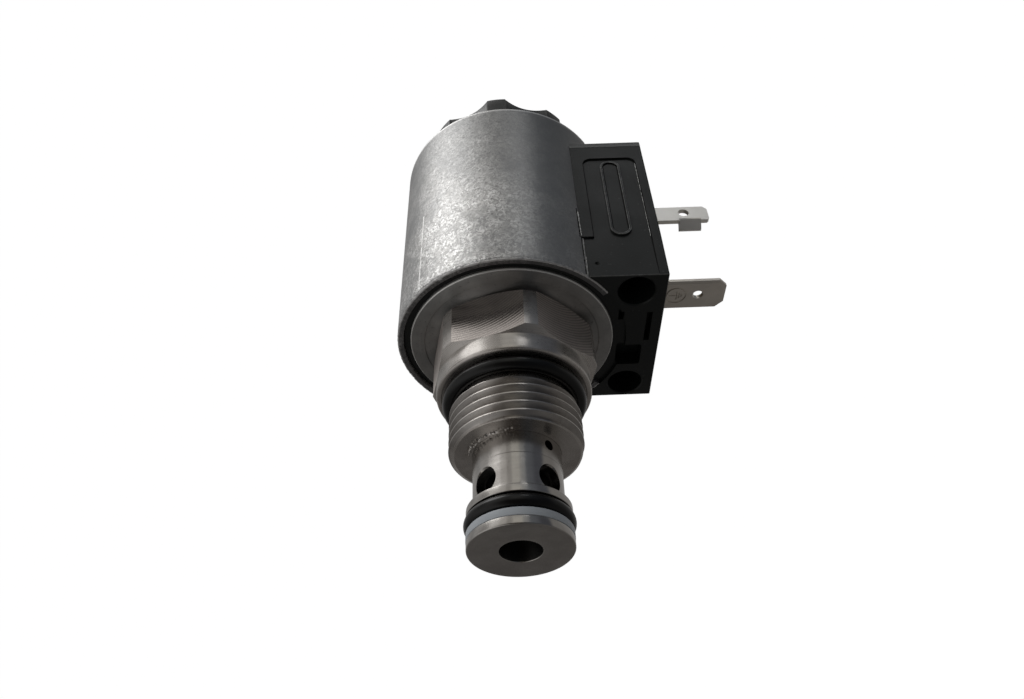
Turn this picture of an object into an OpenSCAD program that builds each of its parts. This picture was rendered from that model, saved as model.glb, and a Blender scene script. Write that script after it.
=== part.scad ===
// Screw-in two-way solenoid poppet cartridge valve with a slip-on coil and a plug-in connector block.
// Millimetres. Z is the valve axis and points from the nose to the coil nut.
// The origin lies on that axis in the seat plane, where the collar meets the manifold.
// The connector block faces +X.

/* [Mounting thread and seat] */
// Major diameter of the mounting thread
thread_d = 20; // [19.6:0.1:20.4]
// Pitch of the mounting thread
thread_pitch = 1.5; // [1:0.25:1.5]
// Depth of the thread's end face below the seat
thread_end = 10.7; // [10.5:0.1:11.5]
// Height of the undercut between the seat and the first thread
undercut_h = 3.5; // [3:0.1:3.6]
// Diameter of the collar
collar_d = 24; // [23:0.5:24]
// Height of the collar below the hexagon
collar_h = 2.9; // [2.5:0.1:3.5]

/* [Hexagon] */
// Width across the flats
hex_af = 24; // [24:0.5:25]
// Diameter that the corners are turned to
hex_corner_d = 26.6; // [26:0.1:27]
// Height of the hexagon's top face, where the coil sits
hex_top = 11.7; // [11.5:0.1:12]
// Direction of one corner, in degrees from +X
hex_turn = -17.8; // [-30:0.1:30]

/* [Cage and nose] */
// Depth of the nose face below the seat
nose_end = 25.8; // [25.7:0.1:26.5]
// Diameter of the nose lands
nose_d = 14.8; // [14.6:0.1:15]
// Diameter of the neck
neck_d = 12.9; // [12.8:0.1:13.2]
// Diameter of the port in the nose
nose_port_d = 6; // [5.8:0.1:6.2]
// Diameter of each side port
side_port_d = 4; // [3:0.1:4.2]
// Number of side ports
side_ports = 4; // [2:1:6]
// Depth of the side ports' centres below the seat
side_port_depth = 17.4; // [17.2:0.1:17.5]
// Direction of the first side port, in degrees from +X
side_port_turn = 44; // [0:1:90]
// Diameter of the pilot feed orifice in the neck
orifice_d = 1.1; // [0.8:0.1:1.2]
// Depth of the orifice below the seat
orifice_depth = 12.05; // [12:0.05:12.2]

/* [Motion] */
// Lift of the armature from its seat to the pole
armature_lift = 2.4; // [2:0.1:2.4]
// Lift of the main poppet
poppet_lift = 2; // [1:0.1:2]

/* [Coil] */
// Outer diameter of the steel shell
shell_d = 37.2; // [37:0.1:38]
// Thickness of the shell's sheet
shell_t = 1; // [0.8:0.1:1]
// Height of the shell
shell_h = 40.4; // [40:0.1:41]
// Half of the angle of the gap in the shell, in degrees
shell_gap_angle = 36; // [30:1:40]
// Diameter of the armature tube that the coil slides over
tube_d = 18; // [17.8:0.1:18]
// Diameter of the pole discs at both ends of the winding
disc_d = 33; // [32.5:0.1:33]

/* [Connector] */
// Distance of the connector face from the axis
face_x = 24.1; // [23.5:0.1:25]
// Width of the connector block, without its raised frames
block_w = 28.7; // [28:0.1:29]
// Height of the raised frames on both sides of the block
frame_t = 0.3; // [0.2:0.1:0.5]
// Height of the block's top face
block_top = 46.9; // [45:0.05:48]
// Height of the connector's centre screw
screw_z = 31; // [30:0.1:32]
// Distance of each blade from the centre screw
blade_offset = 9; // [8.5:0.1:9.2]
// Width of a flat blade
blade_w = 6.3; // [4.8:0.1:6.3]
// Thickness of the blades
blade_t = 0.8; // [0.6:0.1:0.8]
// Distance of the ground blade's tip from the axis
ground_tip_x = 37; // [36:0.1:38]
// Distance of the other blades' tips from the axis
contact_tip_x = 34.5; // [34:0.1:36]

/* [Coil nut] */
// Diameter over the lobes
nut_d = 30.2; // [29:0.1:31]
// Number of lobes
nut_lobes = 8; // [6:1:8]
// Height of the nut's top face
nut_top = 61.3; // [61:0.1:63]
// Diameter of the stud that the nut runs on
stud_d = 14; // [13:0.5:14]

/* [Hidden] */
$fn = 96;

over = 1;               // how far a cutting solid runs past the face it cuts
gap = 0.05;             // clearance between parts that are fitted together
edge = 0.3;             // small broken edge

// thread
thread_r = thread_d / 2;
thread_depth = 0.613 * thread_pitch;
thread_turns = floor((thread_end - undercut_h) / thread_pitch);
undercut_r = 8.85;
seat_inner_r = 11.2;
seat_relief = 0.15;

// body bores
cage_bore_r = 6.5;
cage_bore_top = -2;
needle_bore_r = 1.5;
tube_bore_floor = 5.5;
tube_r = tube_d / 2;
tube_groove_z = 7.4;

// cage
nose_r = nose_d / 2;
neck_r = neck_d / 2;
port_r = nose_port_d / 2;
groove_r = 5.55;
groove_top = -20.9;
groove_bottom = -24.55;
upper_land_top = -19.75;
guide_r = 4.55;
chamber_r = 5.2;
chamber_top = -15.5;
seat_z = -19.6;
seat_chamfer = 0.3;

// poppet and pilot
poppet_r = 4.5;
poppet_stem_r = 3.6;
poppet_top = -4.5;
poppet_tip_r = 2.2;
seat_clearance = 0.1;
pocket_r = 2.9;
pocket_floor = -13.2;
pilot_boss_r = 1.4;
pilot_boss_top = -12.4;
pilot_r = 0.6;
pilot_exit_r = 1.2;
needle_r = 1.2;
needle_tip_r = 0.2;
needle_top = 10.5;

// armature, tube and pole
armature_r = 7.52;
armature_bottom = 7.4;
armature_top = 29.4;
tube_bore_r = 7.6;
tube_bottom = tube_bore_floor + 0.1;
tube_top = 30.5;
ring_top = 34.5;
pole_face = armature_top + armature_lift + 0.2;
plug_r = 7.55;
shoulder_top = 52.6;
stud_r = stud_d / 2;
stud_top = 60.6;
spring_pocket_r = 3.3;
armature_pocket_floor = 21;
pole_pocket_top = pole_face + 3;

// coil stack
shell_r = shell_d / 2;
shell_bore_r = shell_r - shell_t;
shell_z = hex_top - 0.14;
shell_top = shell_z + shell_h;
disc_r = disc_d / 2;
coil_bore_r = tube_r + 0.1;
disc_face = hex_top - 0.1;
disc_recess_r = 14.2;
disc_recess = hex_top + gap;
lower_disc_top = 14.6;
upper_disc_z = 49.05;
upper_disc_top = 51.6;
bobbin_z = lower_disc_top + gap;
bobbin_top = upper_disc_z - gap;
bobbin_core_r = 10.3;
bobbin_flange_r = 15.85;
bobbin_flange_t = 1;
winding_r = 15.2;
seal_pocket_r = 10.95;
seal_pocket_top = 13.5;

// overmould and connector block
jacket_r = 17.5;
jacket_z = 12.2;
jacket_top = 51.4;
block_z = shell_z + 0.11;
block_half = block_w / 2;
block_edge_r = 1.2;
frame_foot = 20.5;
panel_top = 41.4;
panel_x = [13.5, 22.5];
badge_x = 18;
badge_w = 3.4;
badge_z = [20.9, 40.5];
badge_t = 0.3;
pocket_x = 19.4;
pocket_y = 10.9;
pocket_d = 5.9;
pocket_depth = 8;
recess_x = [17.4, 22];
recess_half = 6.4;
recess_depth = 1.5;

// contacts
blade_root_x = 14;
strip_z = [-0.7, 2.8];
wing_x = [29.35, 33.1];
wing_w = 1.8;
wing_turn = 45;
ground_z = screw_z - blade_offset;
tip_chamfer = 1.3;
contact_chamfer = 0.8;
blade_hole_r = 0.9;
insert_r = 2.5;
insert_bore_r = 1.25;
insert_l = 7;
lead_r = 0.4;
lead_x = 12.75;

// nut
nut_r = nut_d / 2;
nut_z = upper_disc_top + gap;
nut_turn = -94.5;
valley_r = 9.1;
valley_floor_r = 13.5;
nut_seal_r = 10.15;
nut_seal_cord = 0.95;
nut_recess_r = 11.3;
nut_recess_top = 53.7;

STEEL = "#8b8983";
MACHINED = "#a09c94";
ZINC = "#7d7f80";
DARK_STEEL = "#5c5e60";
BLACK_PLASTIC = "#232625";
NUT_PLASTIC = "#3a3c3b";
RUBBER = "#151515";
PTFE = "#dfe4ea";
TIN = "#a9a59c";
COPPER = "#b06a3a";
BRASS = "#b9995a";
BRONZE = "#a58a63";

// ---- shared shapes -------------------------------------------------------------------------------

// A torus: the cord of an O-ring around Z
module o_ring(ring_r, cord_r, z)
    translate([0, 0, z])
        rotate_extrude()
            translate([ring_r, 0])
                circle(r = cord_r, $fn = 48);

// A round tube between two heights
module sleeve(outer, inner, z0, z1)
    difference() {
        translate([0, 0, z0])
            cylinder(r = outer, h = z1 - z0);
        translate([0, 0, z0 - over])
            cylinder(r = inner, h = z1 - z0 + 2 * over);
    }

// A bore between two heights
module bore(r, z0, z1)
    translate([0, 0, z0])
        cylinder(r = r, h = z1 - z0);

// V grooves that leave a thread's crests, one groove below each crest
module thread_grooves(r, pitch, depth, z_first, count)
    for (i = [0:count - 1])
        translate([0, 0, z_first - i * pitch])
            rotate_extrude()
                polygon([
                    [r - depth, -pitch / 16],
                    [r + 0.2 * depth, -pitch / 2],
                    [r + 0.2 * depth, pitch / 2],
                    [r - depth, pitch / 16]
                ]);

// A sector of a disc, opening towards +X
module sector(half_angle, r, h)
    linear_extrude(height = h)
        polygon([[0, 0], [r, -r * tan(half_angle)], [r, r * tan(half_angle)]]);

// A coil spring on Z, from one height to the other, with closed end turns
spring_sides = 6;
spring_steps = 12;
function spring_z(t, turns, z0, z1, wire) =
    let (rise = z1 - z0 - 2 * wire)
    let (u = min(max((t - 1) / (turns - 2), 0), 1))
    z0 + wire + (t < 1 ? wire * 0.9 * t : t > turns - 1 ? rise - wire * 0.9 * (turns - t)
        : wire * 0.9 + u * (rise - wire * 1.8));

module coil_spring(coil_r, wire, turns, z0, z1) {
    rings = turns * spring_steps;
    points = [
        for (i = [0:rings])
            for (j = [0:spring_sides - 1])
                let (a = 360 * i / spring_steps)
                let (b = 360 * j / spring_sides)
                let (r = coil_r + wire * cos(b))
                [r * cos(a), r * sin(a), spring_z(i / spring_steps, turns, z0, z1, wire) + wire * sin(b)]
    ];
    sides = [
        for (i = [0:rings - 1])
            for (j = [0:spring_sides - 1])
                let (n = (j + 1) % spring_sides)
                [
                    i * spring_sides + j,
                    (i + 1) * spring_sides + j,
                    (i + 1) * spring_sides + n,
                    i * spring_sides + n
                ]
    ];
    ends = [
        [for (j = [0:spring_sides - 1]) j],
        [for (j = [spring_sides - 1:-1:0]) rings * spring_sides + j]
    ];
    polyhedron(points = points, faces = concat(sides, ends), convexity = 10);
}

// ---- cartridge -----------------------------------------------------------------------------------

// Hexagon with both ends chamfered at 30 degrees and its corners turned
module hexagon() {
    corner_r = hex_corner_d / 2;
    cone_h = (corner_r - collar_d / 2) * tan(30);
    intersection() {
        rotate([0, 0, hex_turn])
            translate([0, 0, collar_h - over])
                cylinder(r = hex_af / 2 / cos(30), h = hex_top - collar_h + over, $fn = 6);
        rotate_extrude()
            polygon([
                [0, edge],
                [collar_d / 2, edge],
                [collar_d / 2, collar_h],
                [corner_r, collar_h + cone_h],
                [corner_r, hex_top - cone_h - edge],
                [collar_d / 2, hex_top - edge],
                [collar_d / 2 - edge, hex_top],
                [0, hex_top]
            ]);
    }
}

module valve_body() color(MACHINED)
    difference() {
        union() {
            hexagon();
            rotate_extrude()
                polygon([
                    [0, -thread_end],
                    [thread_r - 0.8, -thread_end],
                    [thread_r, -thread_end + 0.5],
                    [thread_r, -undercut_h],
                    [thread_r - 0.5, -undercut_h + 0.3],
                    [undercut_r, -undercut_h + 0.3],
                    [undercut_r, seat_relief],
                    [seat_inner_r, seat_relief],
                    [seat_inner_r, 0],
                    [collar_d / 2 - edge, 0],
                    [collar_d / 2, edge],
                    [collar_d / 2, collar_h],
                    [0, collar_h]
                ]);
        }
        thread_grooves(thread_r, thread_pitch, thread_depth, -undercut_h - 0.79, thread_turns);
        bore(cage_bore_r, -thread_end - over, cage_bore_top);
        bore(needle_bore_r, cage_bore_top - over, tube_bore_floor + over);
        bore(tube_r + gap, tube_bore_floor, hex_top + over);
        bore(tube_r + 1.45, tube_groove_z - 0.8, tube_groove_z + 0.8);
    }

module valve_cage() color(MACHINED)
    difference() {
        rotate_extrude()
            polygon([
                [0, -nose_end],
                [nose_r - edge, -nose_end],
                [nose_r, -nose_end + edge],
                [nose_r, groove_bottom],
                [groove_r, groove_bottom],
                [groove_r, groove_top],
                [nose_r, groove_top],
                [nose_r, upper_land_top],
                [nose_r - edge, upper_land_top + edge],
                [neck_r, upper_land_top + edge],
                [neck_r, -thread_end - 3.5],
                [cage_bore_r, -thread_end - 3.4],
                [cage_bore_r, -thread_end],
                [cage_bore_r - gap, -thread_end],
                [cage_bore_r - gap, cage_bore_top - gap],
                [0, cage_bore_top - gap]
            ]);
        bore(guide_r, chamber_top - over, 0);
        bore(chamber_r, seat_z + seat_chamfer, chamber_top);
        bore(port_r, -nose_end - over, seat_z + over);
        translate([0, 0, seat_z])
            cylinder(r1 = port_r, r2 = port_r + seat_chamfer, h = seat_chamfer);
        for (i = [0:side_ports - 1])
            rotate([0, 0, side_port_turn + 360 * i / side_ports])
                translate([guide_r - over, 0, -side_port_depth])
                    rotate([0, 90, 0])
                        cylinder(r = side_port_d / 2, h = neck_r);
        rotate([0, 0, -side_port_turn])
            translate([guide_r - over, 0, -orifice_depth])
                rotate([0, 90, 0])
                    cylinder(r = orifice_d / 2, h = neck_r, $fn = 32);
    }

module main_poppet() color(STEEL)
    difference() {
        rotate_extrude()
            polygon([
                [0, seat_z - (port_r - poppet_tip_r) + seat_clearance],
                [poppet_tip_r, seat_z - (port_r - poppet_tip_r) + seat_clearance],
                [poppet_stem_r, seat_z + poppet_stem_r - port_r + seat_clearance],
                [poppet_stem_r, chamber_top],
                [poppet_r, chamber_top + 0.5],
                [poppet_r, -orifice_depth - 0.7],
                [poppet_r - 0.5, -orifice_depth - 0.7],
                [poppet_r - 0.5, -orifice_depth + 0.7],
                [poppet_r, -orifice_depth + 0.7],
                [poppet_r, poppet_top - edge],
                [poppet_r - edge, poppet_top],
                [0, poppet_top]
            ]);
        difference() {
            bore(pocket_r, pocket_floor, poppet_top + over);
            bore(pilot_boss_r, pocket_floor - over, pilot_boss_top);
        }
        bore(pilot_r, -17, pilot_boss_top + over);
        bore(pilot_exit_r, seat_z - 2, -16);
        rotate([0, 0, -side_port_turn])
            translate([pocket_r - over, 0, -orifice_depth])
                rotate([0, 90, 0])
                    cylinder(r = 0.4, h = poppet_r, $fn = 32);
    }

module poppet_spring() color(DARK_STEEL)
    coil_spring(2.45, 0.3, 8, pocket_floor + gap, cage_bore_top - gap);

module pilot_needle() color(STEEL)
    rotate_extrude()
        polygon([
            [0, pilot_boss_top - (pilot_r - needle_tip_r) + gap],
            [needle_tip_r, pilot_boss_top - (pilot_r - needle_tip_r) + gap],
            [needle_r, pilot_boss_top + (needle_r - pilot_r) + gap],
            [needle_r, needle_top],
            [0, needle_top]
        ]);

module armature() color(DARK_STEEL)
    difference() {
        bore(armature_r, armature_bottom, armature_top);
        bore(needle_r + 0.02, armature_bottom - over, needle_top + 0.1);
        bore(spring_pocket_r, armature_pocket_floor, armature_top + over);
        for (side = [0, 180])
            rotate([0, 0, side])
                translate([armature_r - 1, -0.75, armature_bottom - over])
                    cube([2, 1.5, armature_top - armature_bottom + 2 * over]);
    }

module armature_spring() color(DARK_STEEL)
    coil_spring(2.7, 0.4, 7, armature_pocket_floor + gap, pole_pocket_top - gap);

module armature_tube() color(STEEL)
    sleeve(tube_r, tube_bore_r, tube_bottom, tube_top);

module isolation_ring() color(BRONZE)
    sleeve(tube_r, tube_bore_r, tube_top, ring_top);

module pole_core() color(STEEL)
    difference() {
        union() {
            bore(plug_r, pole_face, ring_top + over);
            bore(tube_r, ring_top, shoulder_top);
            rotate_extrude()
                polygon([
                    [0, shoulder_top - over],
                    [stud_r, shoulder_top - over],
                    [stud_r, stud_top - 0.8],
                    [stud_r - 0.8, stud_top],
                    [0, stud_top]
                ]);
        }
        bore(spring_pocket_r, pole_face - over, pole_pocket_top);
        translate([0, 0, stud_top - 3])
            cylinder(r = 3, h = 3 + over, $fn = 6);
    }

module tube_o_ring() color(RUBBER)
    o_ring(tube_r + 0.72, 0.68, tube_groove_z);

module port_o_ring() color(RUBBER)
    o_ring(9.98, 1.1, -1.25);

module nose_o_ring() color(RUBBER)
    o_ring(6.66, 1.08, groove_top - 1.15);

module nose_backup_ring() color(PTFE)
    sleeve(nose_r + 0.02, groove_r + gap, groove_bottom + 0.03, groove_bottom + 1.23);

// ---- coil ----------------------------------------------------------------------------------------

module lower_pole_disc() color(ZINC)
    difference() {
        sleeve(disc_r, coil_bore_r, disc_face, lower_disc_top);
        bore(disc_recess_r, disc_face - over, disc_recess);
        bore(seal_pocket_r, disc_face - over, seal_pocket_top);
    }

module upper_pole_disc() color(ZINC)
    sleeve(disc_r, coil_bore_r, upper_disc_z, upper_disc_top);

module coil_shell() color(ZINC)
    difference() {
        sleeve(shell_r, shell_bore_r, shell_z, shell_top);
        translate([0, 0, shell_z - over])
            sector(shell_gap_angle, shell_r + over, shell_h + 2 * over);
    }

module coil_bobbin() color(BLACK_PLASTIC)
    difference() {
        sleeve(bobbin_flange_r, coil_bore_r, bobbin_z, bobbin_top);
        sleeve(bobbin_flange_r + over, bobbin_core_r, bobbin_z + bobbin_flange_t, bobbin_top - bobbin_flange_t);
    }

module coil_winding() color(COPPER)
    sleeve(winding_r, bobbin_core_r + gap, bobbin_z + bobbin_flange_t + gap, bobbin_top - bobbin_flange_t - gap);

module coil_lead(side) color(COPPER)
    translate([lead_x, side * blade_offset, screw_z + 1])
        rotate([0, 90, 0])
            cylinder(r = lead_r, h = blade_root_x - lead_x, $fn = 32);

module coil_lead_1() coil_lead(-1);
module coil_lead_2() coil_lead(1);

// Outline of the block across Y and Z, with its two top corners rounded
module block_outline(half, z0, z1) {
    translate([-half, z0])
        square([2 * half, z1 - block_edge_r - z0]);
    translate([-half + block_edge_r, z0])
        square([2 * (half - block_edge_r), z1 - z0]);
    for (side = [-1, 1])
        translate([side * (half - block_edge_r), z1 - block_edge_r])
            circle(r = block_edge_r);
}

// Raised frame on both sides of the block, open at its foot
module block_frames()
    difference() {
        translate([badge_x - 9, 0, 0])
            rotate([90, 0, 90])
                linear_extrude(height = face_x - badge_x + 9)
                    block_outline(block_half + frame_t, frame_foot, block_top);
        for (side = [-1, 1])
            translate([panel_x[0], side * (block_half + 2) - 2, frame_foot - over])
                cube([panel_x[1] - panel_x[0], 4, panel_top - frame_foot + over]);
    }

// Rounded plate that stands where a name plate would
module badge(side)
    translate([badge_x, side * (block_half + badge_t / 2), 0])
        rotate([90, 0, 0])
            linear_extrude(height = badge_t + 0.2, center = true) {
                translate([-badge_w / 2, badge_z[0] + badge_w / 2])
                    square([badge_w, badge_z[1] - badge_z[0] - badge_w]);
                for (z = [badge_z[0] + badge_w / 2, badge_z[1] - badge_w / 2])
                    translate([0, z])
                        circle(r = badge_w / 2);
            }

// Everything of the block outside the shell
module block()
    difference() {
        union() {
            translate([badge_x - 9, 0, 0])
                rotate([90, 0, 90])
                    linear_extrude(height = face_x - badge_x + 9)
                        block_outline(block_half, block_z, block_top);
            block_frames();
            for (side = [-1, 1])
                badge(side);
        }
        bore(shell_r + 0.03, block_z - over, block_top + over);
    }

// The web that joins the block to the jacket through the gap in the shell
module web()
    intersection() {
        translate([0, 0, jacket_z])
            sector(shell_gap_angle - 0.5, shell_r + 3, jacket_top - jacket_z);
        union() {
            bore(shell_r + 0.5, jacket_z, block_top - 0.5);
            bore(shell_r - 0.1, block_top - over, jacket_top);
        }
    }

module connector_housing() color(BLACK_PLASTIC)
    difference() {
        union() {
            bore(jacket_r, jacket_z, jacket_top);
            web();
            block();
        }
        bore(disc_r + gap, jacket_z - over, bobbin_z - 0.03);
        bore(bobbin_flange_r + gap, bobbin_z - over, bobbin_top + over);
        bore(disc_r + gap, upper_disc_z - 0.02, jacket_top + over);
        for (side = [-1, 1]) {
            translate([pocket_x, side * pocket_y, block_z - over])
                cylinder(r = pocket_d / 2, h = pocket_depth + over);
            translate([blade_root_x, side * blade_offset - blade_t / 2 - 0.02, screw_z + strip_z[0] - 0.02])
                cube([face_x, blade_t + 0.04, strip_z[1] - strip_z[0] + 0.04]);
            translate([lead_x - over, side * blade_offset, screw_z + 1])
                rotate([0, 90, 0])
                    cylinder(r = lead_r + 0.02, h = blade_root_x, $fn = 32);
        }
        translate([recess_x[0], -recess_half, block_z - over])
            cube([recess_x[1] - recess_x[0], 2 * recess_half, recess_depth + over]);
        translate([jacket_r - 0.5, -blade_w / 2 - 0.02, ground_z - blade_t / 2 - 0.02])
            cube([face_x, blade_w + 0.04, blade_t + 0.04]);
        translate([face_x - insert_l - 0.1, 0, screw_z])
            rotate([0, 90, 0])
                cylinder(r = insert_r + 0.02, h = insert_l + over);
    }

// Power contact: a narrow strip with a short wing bent off its lower edge
module contact_blade(side) {
    outline_z = [screw_z + strip_z[0], screw_z + strip_z[1]];
    color(TIN)
        difference() {
            union() {
                translate([0, side * blade_offset + blade_t / 2, 0])
                    rotate([90, 0, 0])
                        linear_extrude(height = blade_t)
                            polygon([
                                [blade_root_x, outline_z[0]],
                                [contact_tip_x - contact_chamfer, outline_z[0]],
                                [contact_tip_x, outline_z[0] + contact_chamfer],
                                [contact_tip_x, outline_z[1] - contact_chamfer],
                                [contact_tip_x - contact_chamfer, outline_z[1]],
                                [blade_root_x, outline_z[1]]
                            ]);
                translate([wing_x[0], side * (blade_offset + blade_t / 2), outline_z[0] + 0.3])
                    rotate([-side * wing_turn, 0, 0])
                        translate([0, side > 0 ? -blade_t : 0, -wing_w])
                            cube([wing_x[1] - wing_x[0], blade_t, wing_w]);
            }
            translate([wing_x[0] + 1, side * blade_offset, (outline_z[0] + outline_z[1]) / 2 + 0.2])
                rotate([90, 0, 0])
                    cylinder(r = blade_hole_r, h = 3, center = true, $fn = 32);
        }
}

module contact_blade_1() contact_blade(-1);
module contact_blade_2() contact_blade(1);

module ground_blade() color(TIN)
    difference() {
        translate([0, 0, ground_z - blade_t / 2])
            linear_extrude(height = blade_t)
                polygon([
                    [jacket_r - 0.4, -blade_w / 2],
                    [ground_tip_x - tip_chamfer, -blade_w / 2],
                    [ground_tip_x, -blade_w / 2 + tip_chamfer],
                    [ground_tip_x, blade_w / 2 - tip_chamfer],
                    [ground_tip_x - tip_chamfer, blade_w / 2],
                    [jacket_r - 0.4, blade_w / 2]
                ]);
        translate([ground_tip_x - 4.7, 0, ground_z - over])
            cylinder(r = blade_hole_r, h = 2 * over, $fn = 32);
    }

module threaded_insert() color(BRASS)
    translate([face_x - insert_l - 0.1, 0, screw_z])
        rotate([0, 90, 0])
            difference() {
                cylinder(r = insert_r, h = insert_l);
                translate([0, 0, -over])
                    cylinder(r = insert_bore_r, h = insert_l + 2 * over);
            }

module coil_lower_seal() color(RUBBER)
    o_ring(coil_bore_r + 0.88, 0.82, 12.6);

// ---- coil nut ------------------------------------------------------------------------------------

module coil_upper_seal() color(RUBBER)
    o_ring(nut_seal_r, nut_seal_cord, nut_z + nut_seal_cord + 0.02);

module coil_nut() color(NUT_PLASTIC)
    difference() {
        rotate_extrude()
            polygon([
                [0, nut_z],
                [nut_r - edge, nut_z],
                [nut_r, nut_z + edge],
                [nut_r, nut_top - edge],
                [nut_r - edge, nut_top],
                [0, nut_top]
            ]);
        for (i = [0:nut_lobes - 1])
            rotate([0, 0, nut_turn + 360 * (i + 0.5) / nut_lobes])
                translate([valley_floor_r + valley_r, 0, nut_z + 1.2])
                    cylinder(r = valley_r, h = nut_top - nut_z);
        bore(nut_recess_r, nut_z - over, nut_recess_top);
        bore(stud_r + gap, nut_z, nut_top + over);
        bore(stud_r + 1.2, nut_top - 1.5, nut_top + over);
    }

valve_body();
valve_cage();
main_poppet();
poppet_spring();
pilot_needle();
armature();
armature_spring();
armature_tube();
isolation_ring();
pole_core();
tube_o_ring();
port_o_ring();
nose_o_ring();
nose_backup_ring();
lower_pole_disc();
upper_pole_disc();
coil_shell();
connector_housing();
coil_bobbin();
coil_winding();
coil_lead_1();
coil_lead_2();
contact_blade_1();
contact_blade_2();
ground_blade();
threaded_insert();
coil_lower_seal();
coil_upper_seal();
coil_nut();
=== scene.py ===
import math

import bmesh
import bpy
from mathutils import Matrix, Vector, noise


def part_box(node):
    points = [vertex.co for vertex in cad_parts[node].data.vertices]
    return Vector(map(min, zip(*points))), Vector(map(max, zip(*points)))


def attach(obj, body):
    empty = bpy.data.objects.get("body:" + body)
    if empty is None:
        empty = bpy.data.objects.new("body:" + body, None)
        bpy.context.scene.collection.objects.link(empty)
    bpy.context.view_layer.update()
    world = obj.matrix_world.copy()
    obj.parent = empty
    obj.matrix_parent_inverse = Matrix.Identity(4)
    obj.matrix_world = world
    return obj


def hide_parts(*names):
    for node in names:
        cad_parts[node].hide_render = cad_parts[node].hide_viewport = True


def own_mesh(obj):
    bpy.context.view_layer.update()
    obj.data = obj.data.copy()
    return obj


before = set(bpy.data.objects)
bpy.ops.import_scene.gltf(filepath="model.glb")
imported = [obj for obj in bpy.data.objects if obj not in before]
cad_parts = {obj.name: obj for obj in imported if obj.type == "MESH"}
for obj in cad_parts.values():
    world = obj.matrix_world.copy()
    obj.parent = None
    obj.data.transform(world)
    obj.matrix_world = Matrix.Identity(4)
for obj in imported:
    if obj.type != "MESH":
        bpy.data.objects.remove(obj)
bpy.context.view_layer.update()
MM = 0.001


# ---- where things are, from the CAD, in millimetres ----

def span(node):
    """Lowest and highest corner of a CAD node in millimetres."""
    lo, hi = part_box(node)
    return [c / MM for c in lo], [c / MM for c in hi]


def radius(node):
    """Largest radius of a round CAD node about the valve's axis, in millimetres."""
    lo, hi = span(node)
    return (hi[0] - lo[0]) / 2


BODY_LO, BODY_HI = span("valve_body")
CAGE_LO, CAGE_HI = span("valve_cage")
HOUSING_LO, HOUSING_HI = span("connector_housing")
SHELL_LO, SHELL_HI = span("coil_shell")
NUT_LO, NUT_HI = span("coil_nut")
SHELL_R = -SHELL_LO[0]
DISC_R = radius("lower_pole_disc")
FACE_X = HOUSING_HI[0]
SCREW_Z = sum(a[2] for a in span("threaded_insert")) / 2

# sizes of the valve's parts, as in the CAD or a few hundredths of a millimetre inside it
THREAD_R = 10.0
PITCH = 1.5
THREAD_TOP = -3.2
CREST_Z = -9.15
GLAND_R = 8.85
COLLAR_R = 12.0
COLLAR_H = 2.9
HEX_R = 12.0
HEX_CORNER = 13.3
HEX_TURN = math.radians(-17.8)
NECK_R = 6.45
NOSE_R = 7.38
GROOVE_R = 5.55
CHAMBER_R = 5.2
GUIDE_R = 4.55
# azimuth in degrees, height and radius of the first side port and of the pilot orifice
PORT_TURN, PORT_Z, PORT_R = 44, -17.42, 2.0
ORIFICE_TURN, ORIFICE_Z, ORIFICE_R = -46, -12.05, 0.68
# the coil, its connector block and the blades; a contact's wing reaches from WING_X[0] to WING_X[1]
COIL_BORE_R = 9.1
SHELL_T = 1.0
SHELL_GAP = math.radians(36)
SIDE = 14.35
BLOCK_TOP = 46.9
BLADE_Y = 9.0
BLADE_T = 0.8
WING_X = (29.35, 33.1)


# ---- mesh helpers ----

def arc_fillet(points, steps=4):
    """Rounds the corners of a 2D outline. Each point is (u, v) or (u, v, radius)."""
    out = []
    n = len(points)
    for i, p in enumerate(points):
        r = p[2] if len(p) > 2 else 0.0
        if r <= 0:
            out.append((p[0], p[1]))
            continue
        c = Vector(p[:2])
        a = Vector(points[i - 1][:2]) - c
        b = Vector(points[(i + 1) % n][:2]) - c
        half = a.angle(b) / 2
        if half > math.pi / 2 - 1e-3:
            out.append((p[0], p[1]))
            continue
        back = min(r / math.tan(half), 0.49 * a.length, 0.49 * b.length)
        r = back * math.tan(half)
        middle = c + (a.normalized() + b.normalized()).normalized() * (r / math.sin(half))
        start, end = c + a.normalized() * back, c + b.normalized() * back
        u, w = start - middle, end - middle
        turn = u.angle_signed(w)
        for k in range(steps + 1):
            t = -turn * k / steps
            out.append((
                middle.x + u.x * math.cos(t) - u.y * math.sin(t),
                middle.y + u.x * math.sin(t) + u.y * math.cos(t),
            ))
    return out


def subdivide(points, step):
    """Adds points along a closed 2D outline so that no side is longer than step."""
    out = []
    for a, b in zip(points, points[1:] + points[:1]):
        n = max(1, math.ceil(math.dist(a, b) / step))
        out += [(a[0] + (b[0] - a[0]) * k / n, a[1] + (b[1] - a[1]) * k / n) for k in range(n)]
    return out


def build(name, verts, faces):
    """A closed mesh from points in millimetres, with coincident points merged and faces turned outwards."""
    mesh = bpy.data.meshes.new(name)
    bm = bmesh.new()
    made = [bm.verts.new(Vector(v) * MM) for v in verts]
    for f in faces:
        loop = [made[i] for i in f]
        if len(set(loop)) > 2:
            try:
                bm.faces.new(loop)
            except ValueError:
                pass
    bmesh.ops.remove_doubles(bm, verts=bm.verts, dist=2e-7)
    bmesh.ops.dissolve_degenerate(bm, edges=bm.edges, dist=1e-8)
    bmesh.ops.recalc_face_normals(bm, faces=bm.faces)
    bm.to_mesh(mesh)
    bm.free()
    obj = bpy.data.objects.new(name, mesh)
    bpy.context.scene.collection.objects.link(obj)
    return obj


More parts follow.
